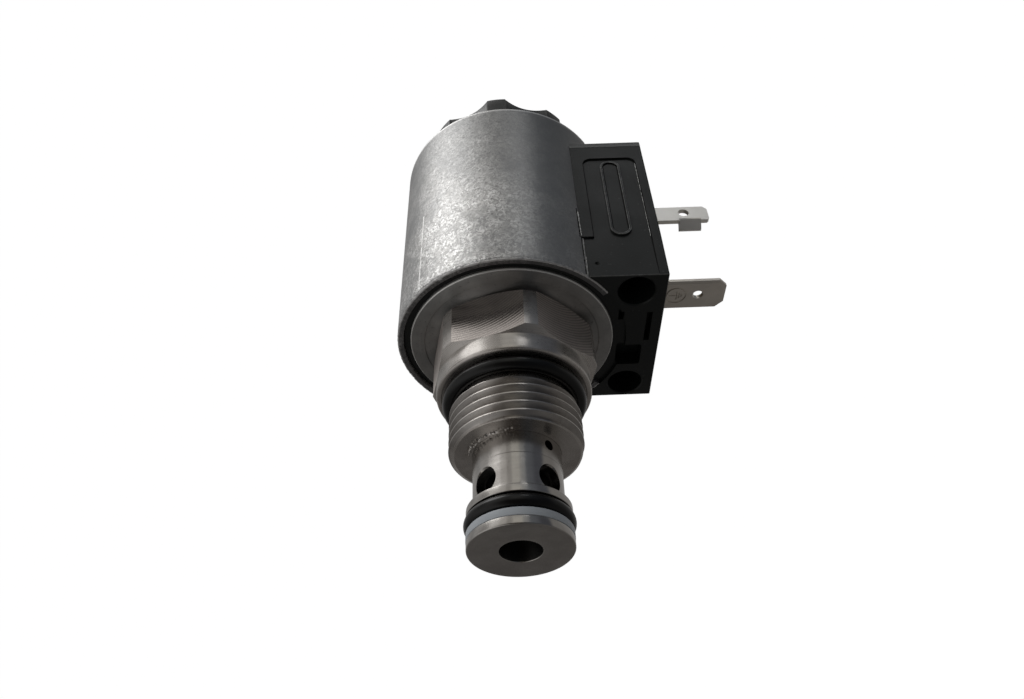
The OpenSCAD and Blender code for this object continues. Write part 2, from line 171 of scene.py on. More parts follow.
def loft(name, rings, closed=False, shut=True):
    """A solid through rings of points: closed joins the last to the first, shut closes the two ends."""
    n = len(rings[0])
    faces = []
    for c in range(len(rings) if closed else len(rings) - 1):
        d = (c + 1) % len(rings)
        for j in range(n):
            k = (j + 1) % n
            faces.append((c * n + j, d * n + j, d * n + k, c * n + k))
    if shut and not closed:
        faces += [tuple(range(n)), tuple((len(rings) - 1) * n + j for j in reversed(range(n)))]
    return build(name, [point for ring in rings for point in ring], faces)


def at_angle(profile, a):
    """The points of an outline [(r, z), ...] at an angle about Z."""
    return [(r * math.cos(a), r * math.sin(a), z) for r, z in profile]


def turned(name, profile, angles=None, segments=192):
    """A solid of revolution about Z. profile is a closed outline [(r, z), ...] or a function of the angle.
    Angles that end a full turn on, for a thread, make a last ring that meets the first one row further up."""
    if angles is None:
        angles = [math.tau * i / segments for i in range(segments)]
    rings = [at_angle(profile(a) if callable(profile) else profile, a) for a in angles]
    return loft(name, rings, angles[-1] - angles[0] < math.tau - 1e-6, False)


def sector(name, profile, start, end, segments):
    """Part of a solid of revolution, with both ends closed."""
    return loft(name, [at_angle(profile, start + (end - start) * i / segments) for i in range(segments + 1)])


def prism(name, outline, low, high, axis="z"):
    """A straight solid from a 2D outline. axis z takes (x, y), y takes (x, z) and x takes (y, z)."""
    place = {
        "z": lambda u, v, w: (u, v, w),
        "y": lambda u, v, w: (u, w, v),
        "x": lambda u, v, w: (w, u, v),
    }[axis]
    n = len(outline)
    verts = [place(u, v, w) for w in (low, high) for u, v in outline]
    faces = [(i, (i + 1) % n, n + (i + 1) % n, n + i) for i in range(n)]
    faces += [tuple(reversed(range(n))), tuple(range(n, 2 * n))]
    return build(name, verts, faces)


def box(name, lo, hi):
    return prism(name, [(lo[0], lo[1]), (hi[0], lo[1]), (hi[0], hi[1]), (lo[0], hi[1])], lo[2], hi[2])


def aim(obj, centre, direction):
    """Turns an object made about Z to another direction and moves its origin to centre, in millimetres."""
    turn = Vector((0, 0, 1)).rotation_difference(Vector(direction)).to_matrix()
    obj.data.transform(Matrix.Translation(Vector(centre) * MM) @ turn.to_4x4())
    return obj


def rod(name, centre, direction, r, low, high, segments, r_high=None):
    """A cylinder along an axis through centre, or a cone where r_high is given."""
    profile = [(0, low), (r, low), (r if r_high is None else r_high, high), (0, high)]
    return aim(turned(name, profile, segments=segments), centre, direction)


def heading(degrees):
    """The level direction at an angle about the valve's axis."""
    return Vector((math.cos(math.radians(degrees)), math.sin(math.radians(degrees)), 0))


def apply_modifiers(obj):
    """Replaces the object's mesh with what its modifiers make of it."""
    graph = bpy.context.evaluated_depsgraph_get()
    mesh = bpy.data.meshes.new_from_object(obj.evaluated_get(graph))
    obj.modifiers.clear()
    old = obj.data
    obj.data = mesh
    bpy.data.meshes.remove(old)
    mesh.name = obj.name
    return obj


def combine(obj, others, operation):
    """Joins the others to obj, or cuts them out of it, one by one, and removes them."""
    for other in others:
        m = obj.modifiers.new("combine", "BOOLEAN")
        m.operation = operation
        m.solver = "EXACT"
        m.object = other
        apply_modifiers(obj)
        bpy.data.objects.remove(other)
    return obj


def cut(obj, *others):
    return combine(obj, others, "DIFFERENCE")


def join(obj, *others):
    return combine(obj, others, "UNION")


def clean(obj, angle=0.3):
    """Merges stray points and flat faces that a boolean has split."""
    bm = bmesh.new()
    bm.from_mesh(obj.data)
    bmesh.ops.remove_doubles(bm, verts=bm.verts, dist=1e-6)
    bmesh.ops.dissolve_limit(bm, angle_limit=math.radians(angle), verts=bm.verts, edges=bm.edges)
    bmesh.ops.recalc_face_normals(bm, faces=bm.faces)
    bm.to_mesh(obj.data)
    bm.free()
    return obj


def soften(obj, width, segments, angle, slot=-1):
    """Rounds the object's edges by width millimetres; slot is the material of the new faces."""
    m = obj.modifiers.new("soften", "BEVEL")
    m.width = width * MM
    m.segments = segments
    m.limit_method = "ANGLE"
    m.angle_limit = math.radians(angle)
    m.miter_outer = "MITER_ARC"
    m.material = slot
    return apply_modifiers(obj)


def ripple(x, y, z):
    """Smooth noise at a place, from about -1 to 1."""
    return noise.noise(Vector((x, y, z)))


def smooth(obj, angle):
    obj.data.polygons.foreach_set("use_smooth", [True] * len(obj.data.polygons))
    obj.data.set_sharp_from_angle(angle=math.radians(angle))
    obj.data.update()
    return obj


def level(obj):
    """Keeps large flat faces flat next to their rounded edges."""
    m = obj.modifiers.new("level", "WEIGHTED_NORMAL")
    m.keep_sharp = True
    m.weight = 100
    return apply_modifiers(obj)


def round_normals(obj, walls):
    """Gives the faces on each round wall, (radius, low z, high z) about Z, the normals of a true cylinder."""
    mesh = obj.data
    mesh.update()
    normals = [Vector(n.vector) for n in mesh.corner_normals]
    for poly in mesh.polygons:
        points = [mesh.vertices[i].co for i in poly.vertices]
        for r, low, high in walls:
            if abs(poly.normal.z) < 0.2 and all(
                abs(math.hypot(p.x, p.y) / MM - r) < 0.01 and low - 0.01 < p.z / MM < high + 0.01
                for p in points
            ):
                side = 1 if poly.normal.x * poly.center.x + poly.normal.y * poly.center.y > 0 else -1
                for loop, p in zip(poly.loop_indices, points):
                    normals[loop] = Vector((p.x, p.y, 0)).normalized() * side
    mesh.normals_split_custom_set(normals)
    return obj


def finish_piece(obj, body, material, slot, *nodes):
    """Gives a piece its material, the body it moves with, and the CAD nodes that it stands for."""
    kinds = [poly.material_index for poly in obj.data.polygons]
    obj.data.materials.clear()
    for m in material if isinstance(material, (list, tuple)) else [material]:
        obj.data.materials.append(m)
    obj.data.polygons.foreach_set("material_index", kinds)
    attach(obj, body)
    if nodes:
        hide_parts(*nodes)
    return obj


# ---- materials ----

class Value:
    """The output of a node, which can be added to, subtracted from, multiplied and divided."""

    def __init__(self, nodes, socket):
        self.nodes = nodes
        self.socket = socket

    def __add__(self, other):
        return self.nodes.math("ADD", self, other)

    def __sub__(self, other):
        return self.nodes.math("SUBTRACT", self, other)

    def __mul__(self, other):
        return self.nodes.math("MULTIPLY", self, other)

    def __truediv__(self, other):
        return self.nodes.math("DIVIDE", self, other)


class Nodes:
    """Short calls for a node tree."""

    def __init__(self, tree):
        self.tree = tree

    def node(self, kind, **settings):
        n = self.tree.nodes.new(kind)
        for key, value in settings.items():
            setattr(n, key, value)
        return n

    def feed(self, n, output, *inputs, **named):
        """Fills a node's inputs, in order or by name, and gives one of its outputs."""
        for key, value in [*enumerate(inputs), *named.items()]:
            self.put(value, n.inputs[key])
        return Value(self, n.outputs[output])

    def put(self, value, socket):
        """Links a value to a socket, or sets a number or a colour on the socket itself."""
        if isinstance(value, Value):
            self.tree.links.new(value.socket, socket)
        else:
            socket.default_value = (*value, 1) if isinstance(value, tuple) else value

    def coordinates(self, kind):
        return Value(self, self.node("ShaderNodeTexCoord").outputs[kind])

    def split(self, vector):
        n = self.node("ShaderNodeSeparateXYZ")
        return [self.feed(n, axis, vector) for axis in "XYZ"]

    def math(self, operation, a, b=0.0):
        return self.feed(self.node("ShaderNodeMath", operation=operation), 0, a, b)

    def length(self, a, b):
        return self.math("SQRT", a * a + b * b)

    def ramp(self, value, *stops):
        """A colour ramp: stops are (position, grey or colour)."""
        n = self.node("ShaderNodeValToRGB")
        while len(n.color_ramp.elements) < len(stops):
            n.color_ramp.elements.new(0.5)
        for e, (position, colour) in zip(n.color_ramp.elements, stops):
            e.position = position
            e.color = (*colour, 1) if isinstance(colour, tuple) else (colour, colour, colour, 1)
        return self.feed(n, "Color", value)

    def mix(self, factor, a, b):
        return self.feed(self.node("ShaderNodeMix", data_type="RGBA"), "Result", Factor=factor, A=a, B=b)


class Finish(Nodes):
    """A material in the making: its textures follow the piece's own coordinates, in metres."""

    def __init__(self, name):
        self.material = bpy.data.materials.new(name)
        self.material.use_nodes = True
        super().__init__(self.material.node_tree)
        self.shader = self.tree.nodes["Principled BSDF"]
        self.place = self.coordinates("Object")

    def noise(self, vector, scale, detail=3.0, rough=0.55, distortion=0.0, output="Fac"):
        n = self.node("ShaderNodeTexNoise")
        sizes = {"Scale": scale, "Detail": detail, "Roughness": rough, "Distortion": distortion}
        return self.feed(n, output, Vector=vector, **sizes)

    def cells(self, vector, scale):
        return self.feed(self.node("ShaderNodeTexVoronoi"), "Color", Vector=vector, Scale=scale)

    def rings(self, across, around, rough=0.5):
        """Noise drawn out round the axis, like tool marks: across and around are its scales."""
        x, y, z = self.split(self.place)
        turn = self.math("COSINE", self.math("ARCTAN2", y, x))
        n = self.node("ShaderNodeCombineXYZ")
        place = self.feed(n, 0, self.length(x, y) * across, turn * around, z * across)
        return self.noise(place, 1.0, 2.0, rough)

    def bump(self, height, strength, distance, before=None):
        n = self.node("ShaderNodeBump")
        if before:
            self.put(before, n.inputs["Normal"])
        return self.feed(n, "Normal", Height=height, Strength=strength, Distance=distance)

    def done(self, colour, rough, metallic=0.0, normal=None, **others):
        if normal:
            others["Normal"] = normal
        for key, value in dict(Base_Color=colour, Roughness=rough, Metallic=metallic, **others).items():
            self.put(value, self.shader.inputs[key.replace("_", " ")])
        return self.material


def shade(colour, factor):
    return tuple(c * factor for c in colour)


def turned_steel(name, light, dark, rough=0.3, marks=0.5, spots=0.6):
    """Turned steel: fine rings from the tool, a few darker patches of oil and grey, and small pits."""
    n = Finish(name)
    fine = n.rings(16000, 0.25, 0.6)
    coarse = n.rings(3200, 0.4)
    patches = n.noise(n.place, 210.0, 4.0, 0.6, 0.4)
    pits = n.ramp(n.noise(n.place, 2600.0, 2.0, 0.5), (0.655, 0.0), (0.70, spots))
    tone = n.mix(n.ramp(patches, (0.35, 0.0), (0.68, 1.0)), dark, light)
    tone = n.mix(n.ramp(coarse, (0.42, 0.3), (0.62, 0.0)), tone, dark)
    tone = n.mix(pits, tone, (0.035, 0.032, 0.03))
    roughness = fine * 0.1 + patches * 0.14 + (rough - 0.12)
    normal = n.bump(fine, marks, 0.000006)
    normal = n.bump(coarse, marks * 0.8, 0.000012, normal)
    round_axis = n.node("ShaderNodeTangent", direction_type="RADIAL", axis="Z").outputs[0]
    n.put(Value(n, round_axis), n.shader.inputs["Tangent"])
    return n.done(tone, roughness, 1.0, normal, Anisotropic=0.85, Anisotropic_Rotation=0.25)


def rubber(name, tint, rough):
    n = Finish(name)
    grain = n.noise(n.place, 1800.0, 3.0, 0.6)
    film = n.noise(n.place, 260.0, 3.0, 0.5)
    tone = n.mix(film, shade(tint, 0.6), tint)
    normal = n.bump(grain, 0.25, 0.00002)
    return n.done(tone, film * 0.22 + (rough - 0.1), 0.0, normal, Specular_IOR_Level=0.35)


def moulded(name, tint, rough, grain_size=3200.0, grain=0.35, dust=0.25, gloss=0.5):
    """Moulded plastic: a fine spark-eroded grain, slightly uneven gloss and a little pale dust."""
    n = Finish(name)
    fine = n.noise(n.place, grain_size, 3.0, 0.65)
    broad = n.noise(n.place, 90.0, 4.0, 0.55, 0.6)
    specks = n.noise(n.place, 1500.0, 2.0, 0.5)
    tone = n.mix(broad, shade(tint, 0.72), shade(tint, 1.25))
    tone = n.mix(n.ramp(specks, (0.68, 0.0), (0.75, dust)), tone, (0.22, 0.22, 0.22))
    normal = n.bump(fine, grain, 0.00004)
    return n.done(tone, broad * 0.2 + (rough - 0.1), 0.0, normal, Specular_IOR_Level=gloss)


def plastic_edge_highlight(name, dark, light):
    """Edges of the plastic, with a painted highlight that is pale in places."""
    n = Finish(name)
    highlight_patches = n.noise(n.place, 1300.0, 3.0, 0.7)
    broad = n.noise(n.place, 160.0, 3.0, 0.5)
    amount = n.ramp(highlight_patches, (0.4, 0.1), (0.62, 1.0)) * n.ramp(broad, (0.35, 0.15), (0.6, 1.0))
    tone = n.mix(amount, dark, light)
    return n.done(tone, highlight_patches * 0.2 + 0.25, 0.0, n.bump(highlight_patches, 0.3, 0.00003), Specular_IOR_Level=0.7)


def plain_metal(name, light, dark, rough, metallic=1.0):
    n = Finish(name)
    broad = n.noise(n.place, 240.0, 4.0, 0.6)
    roughness = n.rings(9000, 0.3) * 0.2 + (rough - 0.1)
    return n.done(n.mix(broad, dark, light), roughness, metallic, n.bump(broad, 0.2, 0.00006))


def lit_side_flecks(n, x, y, broad):
    """The angle round the shell, and a mask of the side the light falls on: the paler painted tone and most
    flecks on the left, fewer towards the block.
    """
    around = n.math("ARCTAN2", x, y * -1.0)
    lit_side = n.ramp(
        around * 0.5 + 0.5, (0.0, 0.55), (0.12, 1.0), (0.40, 0.9), (0.50, 0.5), (0.56, 0.32), (0.66, 0.1),
    )
    lit_side = n.mix(n.ramp(y * 50.0, (0.1, 0.0), (0.6, 1.0)), lit_side, (0.55, 0.55, 0.55))
    return around, lit_side * n.ramp(broad, (0.3, 0.35), (0.62, 1.0))


def zinc_shell(name):
    """Zinc-plated sheet: crystalline flecks over grey, paler and glinting on the lit side as painted light,
    thinning out round towards the block.
    """
    n = Finish(name)
    x, y, z = n.split(n.place)
    shift = n.node("ShaderNodeVectorMath", operation="MULTIPLY_ADD")
    warped = n.feed(shift, 0, n.noise(n.place, 900.0, 2.0, 0.5, output="Color"), [0.0004] * 3, n.place)
    small = n.cells(warped, 2600.0)
    large = n.cells(warped, 1100.0)
    fine = n.noise(n.place, 1900.0, 4.0, 0.7, 0.8)
    medium = n.noise(n.place, 1000.0, 5.0, 0.72, 1.2)
    broad = n.noise(n.place, 150.0, 4.0, 0.6, 0.5)
    around, lit_side = lit_side_flecks(n, x, y, broad)
    height = z * 20.0
    # grey sheet, paler on the lit side as painted light, with darker grains, with pale flecks and chips of
    # zinc that are partly the plating's spangle and partly painted highlight, and with painted glints; darker
    # towards the top
    flecks = n.ramp(medium, (0.44, 0.0), (0.60, 1.0)) * lit_side
    glints = n.ramp(fine, (0.55, 0.0), (0.66, 1.0)) * lit_side
    grains = n.ramp(fine, (0.40, 0.85), (0.49, 0.0)) * lit_side
    cluster = n.ramp(n.noise(n.place, 300.0, 4.0, 0.62, 0.8), (0.38, 0.2), (0.50, 1.0))
    cluster = cluster * n.ramp(height, (0.25, 1.0), (0.75, 0.45)) * lit_side
    chips = n.ramp(n.noise(warped, 1250.0, 3.0, 0.65, 1.8), (0.50, 0.0), (0.535, 1.0)) * cluster
    plain = n.mix(broad, (0.22, 0.225, 0.235), (0.31, 0.31, 0.305))
    tone = n.mix(lit_side, plain, n.mix(broad, (0.28, 0.277, 0.273), (0.42, 0.415, 0.41)))
    tone = n.mix(grains, tone, (0.13, 0.125, 0.12))
    tone = n.mix(flecks * 0.38, tone, (0.96, 0.95, 0.93))
    tone = n.mix(glints * 0.4, tone, (1.0, 0.995, 0.98))
    tone = n.mix(chips, tone, (1.0, 1.0, 0.99))
    tone = n.mix(small * lit_side * 0.25, tone, (0.85, 0.84, 0.82))
    tone = n.mix(n.ramp(height, (0.55, 0.0), (0.98, 0.5)), tone, (0.20, 0.203, 0.205))
    # the sheared lower edge: a bright burr, painted shade on the sheet's underside inside it and a dark
    # ragged line above it, the burr's painted shadow
    rise = (z - SHELL_LO[2] * MM) * 1000.0
    ragged = rise + (medium - 0.5) * 1.4
    outside = n.math("GREATER_THAN", n.length(x, y), (SHELL_R - 0.28) * MM)
    # painted shade on the underside of the sheet
    tone = n.mix(n.ramp(rise, (0.02, 1.0), (0.12, 0.0)) * 0.75, tone, (0.085, 0.085, 0.088))
    tone = n.mix(n.ramp(ragged, (0.12, 1.0), (0.25, 0.0)) * outside, tone, (0.55, 0.545, 0.54))
    # painted shadow of the burr, on the lit side
    line = n.ramp(ragged, (0.2, 0.0), (0.3, 0.85), (0.5, 0.85), (0.72, 0.0))
    tone = n.mix(line * lit_side, tone, (0.03, 0.03, 0.031))
    # the pale upper rim
    rim = n.ramp((z - (SHELL_HI[2] - 0.8) * MM) * 1000.0, (0.1, 0.0), (0.3, 0.55))
    tone = n.mix(rim, tone, (0.95, 0.95, 0.94))
    # one long scratch down the side, between the burr and three quarters of the height
    off = n.math("ABSOLUTE", around + n.math("SINE", z * 120.0) * 0.006 + 0.85)
    scratch = n.math("LESS_THAN", off, 0.0085) * n.math("LESS_THAN", z, 0.030)
    scratch = scratch * n.math("GREATER_THAN", rise, 0.9) * n.ramp(fine, (0.35, 0.2), (0.6, 1.0))
    tone = n.mix(scratch, tone, (1.0, 0.995, 0.98))
    normal = n.bump(flecks * 0.7 + large * 0.5 + chips * 0.8, 0.55, 0.00003)
    normal = n.bump(broad, 0.25, 0.0004, normal)
    return n.done(tone, medium * 0.35 + 0.26, 0.85, normal)


def milled_flat(name, turn, rough, pale):
    """A hexagon flat: shallow arcs left by a milling cutter that passed with its centre beside the flat."""
    cutter_along, cutter_z, feed = -0.004, 0.020, 0.00048
    n = Finish(name)
    x, y, z = n.split(n.place)
    along = x * -math.sin(turn) + y * math.cos(turn)
    reach = n.length(along - cutter_along, z - cutter_z)
    arcs = n.math("SINE", reach * (math.tau / feed))
    fine = n.noise(n.place, 1500.0, 4.0, 0.6)
    patches = n.noise(n.place, 230.0, 4.0, 0.6)
    # pale scales the whole tone, which is how each copy gets its painted brightness
    tone = n.mix(patches, shade((0.40, 0.365, 0.345), pale), shade((0.50, 0.46, 0.435), pale))
    tone = n.mix(n.ramp(arcs, (0.0, 1.0), (0.35, 0.0)) * 0.35, tone, (0.22, 0.205, 0.19))
    return n.done(tone, fine * 0.1 + rough, 1.0, n.bump(arcs + fine * 0.8, 0.25, 0.000012))


STEEL = turned_steel("turned_steel", (0.64, 0.61, 0.58), (0.46, 0.435, 0.41), 0.28, 0.4, 0.2)
STEEL_FINE = turned_steel("turned_steel_fine", (0.52, 0.50, 0.475), (0.40, 0.38, 0.36), 0.18, 0.4, 0.15)
# dark steel as painted shade for the bore, the side ports and the parts hidden inside, and a darker one for
# the orifice
STEEL_SHADED = turned_steel("turned_steel_painted_shade", (0.09, 0.088, 0.084), (0.05, 0.048, 0.046), 0.4)
STEEL_HOLE_SHADE = turned_steel("hole_painted_shade", (0.012, 0.011, 0.01), (0.006, 0.006, 0.006), 0.55)
# darker steel on the thread's flanks and roots: painted shade in the grooves
STEEL_FLANK_SHADE = turned_steel("thread_flank_shade", (0.52, 0.50, 0.475), (0.35, 0.33, 0.315), 0.3, 0.4, 0.2)
# two copies of the milled flat with tones set by how the light falls: the flat that faces the light has a
# darker painted tone, the other five a paler one
FLAT = milled_flat("milled_flat", math.radians(-107.8), 0.16, 1.15)
FLAT_SIDE = milled_flat("milled_flat_side", math.radians(-47.8), 0.42, 1.7)
ZINC = zinc_shell("zinc_shell")
DISC_STEEL = turned_steel("plated_disc", (0.44, 0.435, 0.425), (0.31, 0.31, 0.305), 0.42, 0.25, 0.3)
PALE_EDGE = plain_metal("pale_edge", (0.92, 0.91, 0.88), (0.6, 0.6, 0.58), 0.35, 0.5)
BLACK = moulded("black_moulding", (0.0082, 0.0098, 0.0097), 0.40, 3200.0, 0.35, 0.12, 0.27)
# pale edges as painted highlight, on the block's outer edges and round the badge
BLACK_EDGE_HIGHLIGHT = plastic_edge_highlight("black_moulding_edge_highlight", (0.012, 0.013, 0.013), (0.07, 0.073, 0.073))
BADGE_EDGE_HIGHLIGHT = plastic_edge_highlight("black_moulding_rim_highlight", (0.03, 0.033, 0.033), (0.30, 0.31, 0.31))
# a paler painted sheen on the block's rounded top edge
BLACK_TOP_SHEEN = moulded("black_moulding_top_sheen", (0.038, 0.040, 0.039), 0.35, 2200.0, 0.35, 0.3, 0.6)
# painted shade for inner corners, the groove under the top lip, the frames' edges and the seam beside the
# flash
BLACK_SHADE = moulded("black_moulding_corner_shade", (0.0015, 0.0015, 0.0015), 0.6, 2200.0, 0.35, 0.0, 0.1)
# the flash is black plastic painted pale, a painted highlight
FLASH_HIGHLIGHT = plastic_edge_highlight("flash_edge_highlight", (0.30, 0.305, 0.30), (0.85, 0.86, 0.85))
NUT_GREY = moulded("dark_grey_moulding", (0.020, 0.0215, 0.021), 0.32, 2400.0, 0.2, 0.1, 0.42)
RUBBER = rubber("black_rubber", (0.003, 0.003, 0.0033), 0.24)
PTFE = moulded("white_ring", (0.46, 0.50, 0.54), 0.38, 2600.0, 0.08, 0.0)
TIN = plain_metal("tinned_contact", (0.98, 0.965, 0.92), (0.86, 0.84, 0.795), 0.36, 0.6)
TIN_DULL = plain_metal("dull_contact", (0.90, 0.85, 0.77), (0.64, 0.60, 0.54), 0.34, 0.9)
BRASS = plain_metal("brass", (0.72, 0.55, 0.28), (0.52, 0.38, 0.18), 0.30)
COPPER = plain_metal("enamelled_copper", (0.58, 0.24, 0.10), (0.38, 0.15, 0.07), 0.30)
SPRING = plain_metal("spring_wire", (0.30, 0.30, 0.31), (0.18, 0.18, 0.19), 0.28)
BRONZE = plain_metal("bronze", (0.55, 0.42, 0.27), (0.40, 0.30, 0.19), 0.34)


# ---- valve body: hexagon, collar, seal gland and a true helical thread ----

def hex_radius(a):
    """Radius of the hexagon's side at an angle, with its corners turned down."""
    d = (a - HEX_TURN) % math.radians(60) - math.radians(30)
    return min(HEX_CORNER, HEX_R / math.cos(d))


def thread_radius(a, z, pitch, major, start):
    """Radius of a 60 degree thread with flat crests and roots."""
    depth = 0.613 * pitch
    h = ((z - start) / pitch - a / math.tau) % 1.0
    h = min(h, 1 - h)
    return major - depth * min(max((h - 1 / 16) / (depth * math.tan(math.radians(30)) / pitch), 0), 1)


def thread_rows(pitch, low, high):
    """A function giving the heights of the thread's corners at an angle, with points between them."""
    crest, root = 1 / 16, 1 / 16 + 0.613 * math.tan(math.radians(30))
    flank = [crest + (root - crest) * i / 3 for i in range(4)]
    marks = [0, *flank, 0.5, *(1 - m for m in reversed(flank))]
    turns = range(-2, math.ceil((high - low) / pitch) + 2)

    def heights(a, start):
        return [min(max(start + pitch * (k + m + a / math.tau), low), high) for k in turns for m in marks]

    return heights


def body_outline(a, heights):
    """The body's closed outline at an angle: up the thread, collar and hexagon, then down the bore."""
    end, top = BODY_LO[2], BODY_HI[2]
    hex_r = hex_radius(a)
    chamfer = (hex_r - HEX_R) * math.tan(math.radians(30))
    low, high = COLLAR_H + chamfer, top - 0.3 - chamfer
    ring = []
    for z in heights(a, CREST_Z - PITCH):
        r = thread_radius(a, z, PITCH, THREAD_R - 0.02, CREST_Z)
        ring.append((min(r, 9.25 + (z - end) * 1.75, GLAND_R + (THREAD_TOP - z) * 2.6), z))
    ring += [(GLAND_R, THREAD_TOP + 0.02), (GLAND_R, 0.0), (8.88, 0.1), (9.0, 0.15), (11.15, 0.15)]
    ring += [(11.2, 0.1), (11.2, 0.02), (11.24, 0.0), (11.66, 0.0), (11.8, 0.06), (11.92, 0.16), (11.98, 0.3)]
    ring += [(COLLAR_R, z) for z in (0.5, 1.0, 1.6, 2.2, COLLAR_H - 0.06)] + [(12.01, COLLAR_H)]
    ring += [(HEX_R + (hex_r - HEX_R) * t, COLLAR_H + (low - COLLAR_H) * t) for t in (0.33, 0.66)]
    ring += [(hex_r - 0.03, low - 0.02), (hex_r, low + 0.03)]
    ring += [(hex_r, low + (high - low) * t) for t in (0.2, 0.4, 0.6, 0.8)]
    ring += [(hex_r, high - 0.03), (hex_r - 0.03, high + 0.02), (11.8, top - 0.07), (11.65, top)]
    ring += [(9.2, top), (9.05, top - 0.15), (9.05, 5.5), (1.5, 5.5), (1.5, -2.0), (6.5, -2.0)]
    ring += [(6.5, end + 0.04), (6.53, end + 0.02), (6.7, end + 0.02)]
    ring += [(r, end + 0.02) for r in (6.85, 7.0, 7.15, 7.3, 7.45, 7.6, 8.0, 8.6)]
    return ring + [(9.1, end)]


def stake_marks(obj):
    """Small dents in the end face beside the neck, on one side, where the cage was staked in."""
    end = BODY_LO[2]
    for v in obj.data.vertices:
        p = v.co / MM
        r = math.hypot(p.x, p.y)
        if abs(p.z - end) < 0.03 and 6.65 < r < 7.55:
            side = max(0.0, math.cos((math.atan2(p.y, p.x) - math.radians(-136)) * 1.6))
            dent = ripple(p.x * 2.3, p.y * 2.3, 3.1) + 0.8 * ripple(p.x * 5, p.y * 5, 8)
            v.co.z += MM * max(0.0, dent + 0.1) * 0.42 * side * math.sin(math.pi * (r - 6.6))


def valve_body():
    side, half = math.radians(60), math.acos(HEX_R / HEX_CORNER)
    corner = side / 2 - half
    angles = []
    for k in range(6):
        c = HEX_TURN + side * k
        angles += [c - corner + 2 * corner * i / 6 for i in range(6)]
        angles += [c + corner + (side - 2 * corner) * i / 40 for i in range(40)]
    angles.append(angles[0] + math.tau)
    heights = thread_rows(PITCH, BODY_LO[2], THREAD_TOP)
    obj = turned("valve_body_turned", lambda a: body_outline(a, heights), angles)
    stake_marks(obj)
    smooth(obj, 24)
    finish_piece(obj, "cartridge", [STEEL, FLAT, FLAT_SIDE, STEEL_FLANK_SHADE], "machined_steel", "valve_body")
    ways = [heading(math.degrees(HEX_TURN) + 60 * k - 90) for k in range(6)]
    for poly in obj.data.polygons:
        c = poly.center / MM
        facing = [poly.normal.dot(way) > 0.9995 for way in ways]
        # the flat that faces the light gets the darker painted tone, the other flats the paler one
        if c.z > COLLAR_H and any(facing):
            poly.material_index = 1 if facing[0] else 2
        # the thread's flanks and roots get the darker steel, painted shade
        elif BODY_LO[2] + 0.5 < c.z < THREAD_TOP and 8.7 < math.hypot(c.x, c.y) < THREAD_R - 0.06:
            poly.material_index = 3
    return obj


# ---- cage: neck with its side ports, nose and seal groove ----

def valve_cage():
    end, top = CAGE_LO[2], CAGE_HI[2]
    step = BODY_LO[2] + 1.0
    profile = arc_fillet([
        (2.97, end, 0.12), (NOSE_R, end, 0.22), (NOSE_R, -24.55, 0.06), (GROOVE_R, -24.55, 0.1),
        (GROOVE_R, -20.9, 0.1), (NOSE_R, -20.9, 0.12), (NOSE_R, -19.75, 0.2), (6.75, -19.45, 0.1),
        (NECK_R, -19.4, 0.1), (NECK_R, -14.2, 0.02), (6.49, -14.14, 0.02), (6.49, step), (6.42, step + 0.1),
        (6.42, top), (GUIDE_R, top), (GUIDE_R, -15.5), (CHAMBER_R, -15.5), (CHAMBER_R, -19.3), (3.3, -19.3),
        (2.97, -19.6),
    ])
    obj = turned("valve_cage_turned", subdivide(profile, 0.6), segments=288)
    drills = [(PORT_TURN + 90 * k, PORT_Z, PORT_R, 0.17, 72) for k in range(4)]
    drills.append((ORIFICE_TURN, ORIFICE_Z, ORIFICE_R, 0.12, 40))
    cutters = []
    for turn, z, r, rim, sides in drills:
        profile = [(0, 4.0), (r, 4.0), (r, 6.15), (r + rim, 6.5), (r + rim, 9.0), (0, 9.0)]
        cutters.append(aim(turned("drill", profile, segments=sides), (0, 0, z), heading(turn)))
    cut(obj, *cutters)
    smooth(obj, 24)
    round_normals(obj, [
        (NECK_R, -19.3, -14.2), (6.49, -14.14, -10.75), (CHAMBER_R, -19.3, -15.5), (GUIDE_R, -15.5, top),
    ])
    finish_piece(obj, "cartridge", [STEEL_FINE, STEEL_SHADED, STEEL_HOLE_SHADE], "machined_steel", "valve_cage")
    # the bore and the walls of the side ports get dark steel as painted shade, and the orifice a darker
    # painted shade
    orifice = heading(ORIFICE_TURN)
    for poly in obj.data.polygons:
        c = poly.center / MM
        off = math.hypot(c.cross(orifice).z, c.z - ORIFICE_Z)
        inside = 6.3 if -19.4 < c.z < -15.4 else 5.4
        if off < 0.85 and 4.7 < c.dot(orifice) < 6.42:
            poly.material_index = 2
        elif math.hypot(c.x, c.y) < inside and c.z > end + 0.3:
            poly.material_index = 1
    return obj


# ---- seals and springs ----

def seal(name, node, body):
    """An O-ring with a faint moulding line round its inside and outside."""
    lo, hi = span(node)
    outer, cord, mid = (hi[0] - lo[0]) / 2, (hi[2] - lo[2]) / 2, (lo[2] + hi[2]) / 2
    profile = []
    for i in range(40):
        t = math.tau * i / 40
        r = cord * (0.996 if i % 20 else 1.0) - 0.004
        profile.append((outer - cord + r * math.cos(t), mid + r * math.sin(t)))
    obj = turned(name, profile, segments=160)
    return finish_piece(smooth(obj, 60), body, RUBBER, "rubber", node)


def backup_ring():
    lo, hi = span("nose_backup_ring")
    inner, outer = 5.6, radius("nose_backup_ring")
    profile = [(inner, lo[2], 0.05), (outer, lo[2], 0.1), (outer, hi[2], 0.1), (inner, hi[2], 0.05)]
    obj = turned("backup_ring_white", subdivide(arc_fillet(profile), 0.5))
    return finish_piece(smooth(obj, 40), "cartridge", PTFE, "ptfe", "nose_backup_ring")


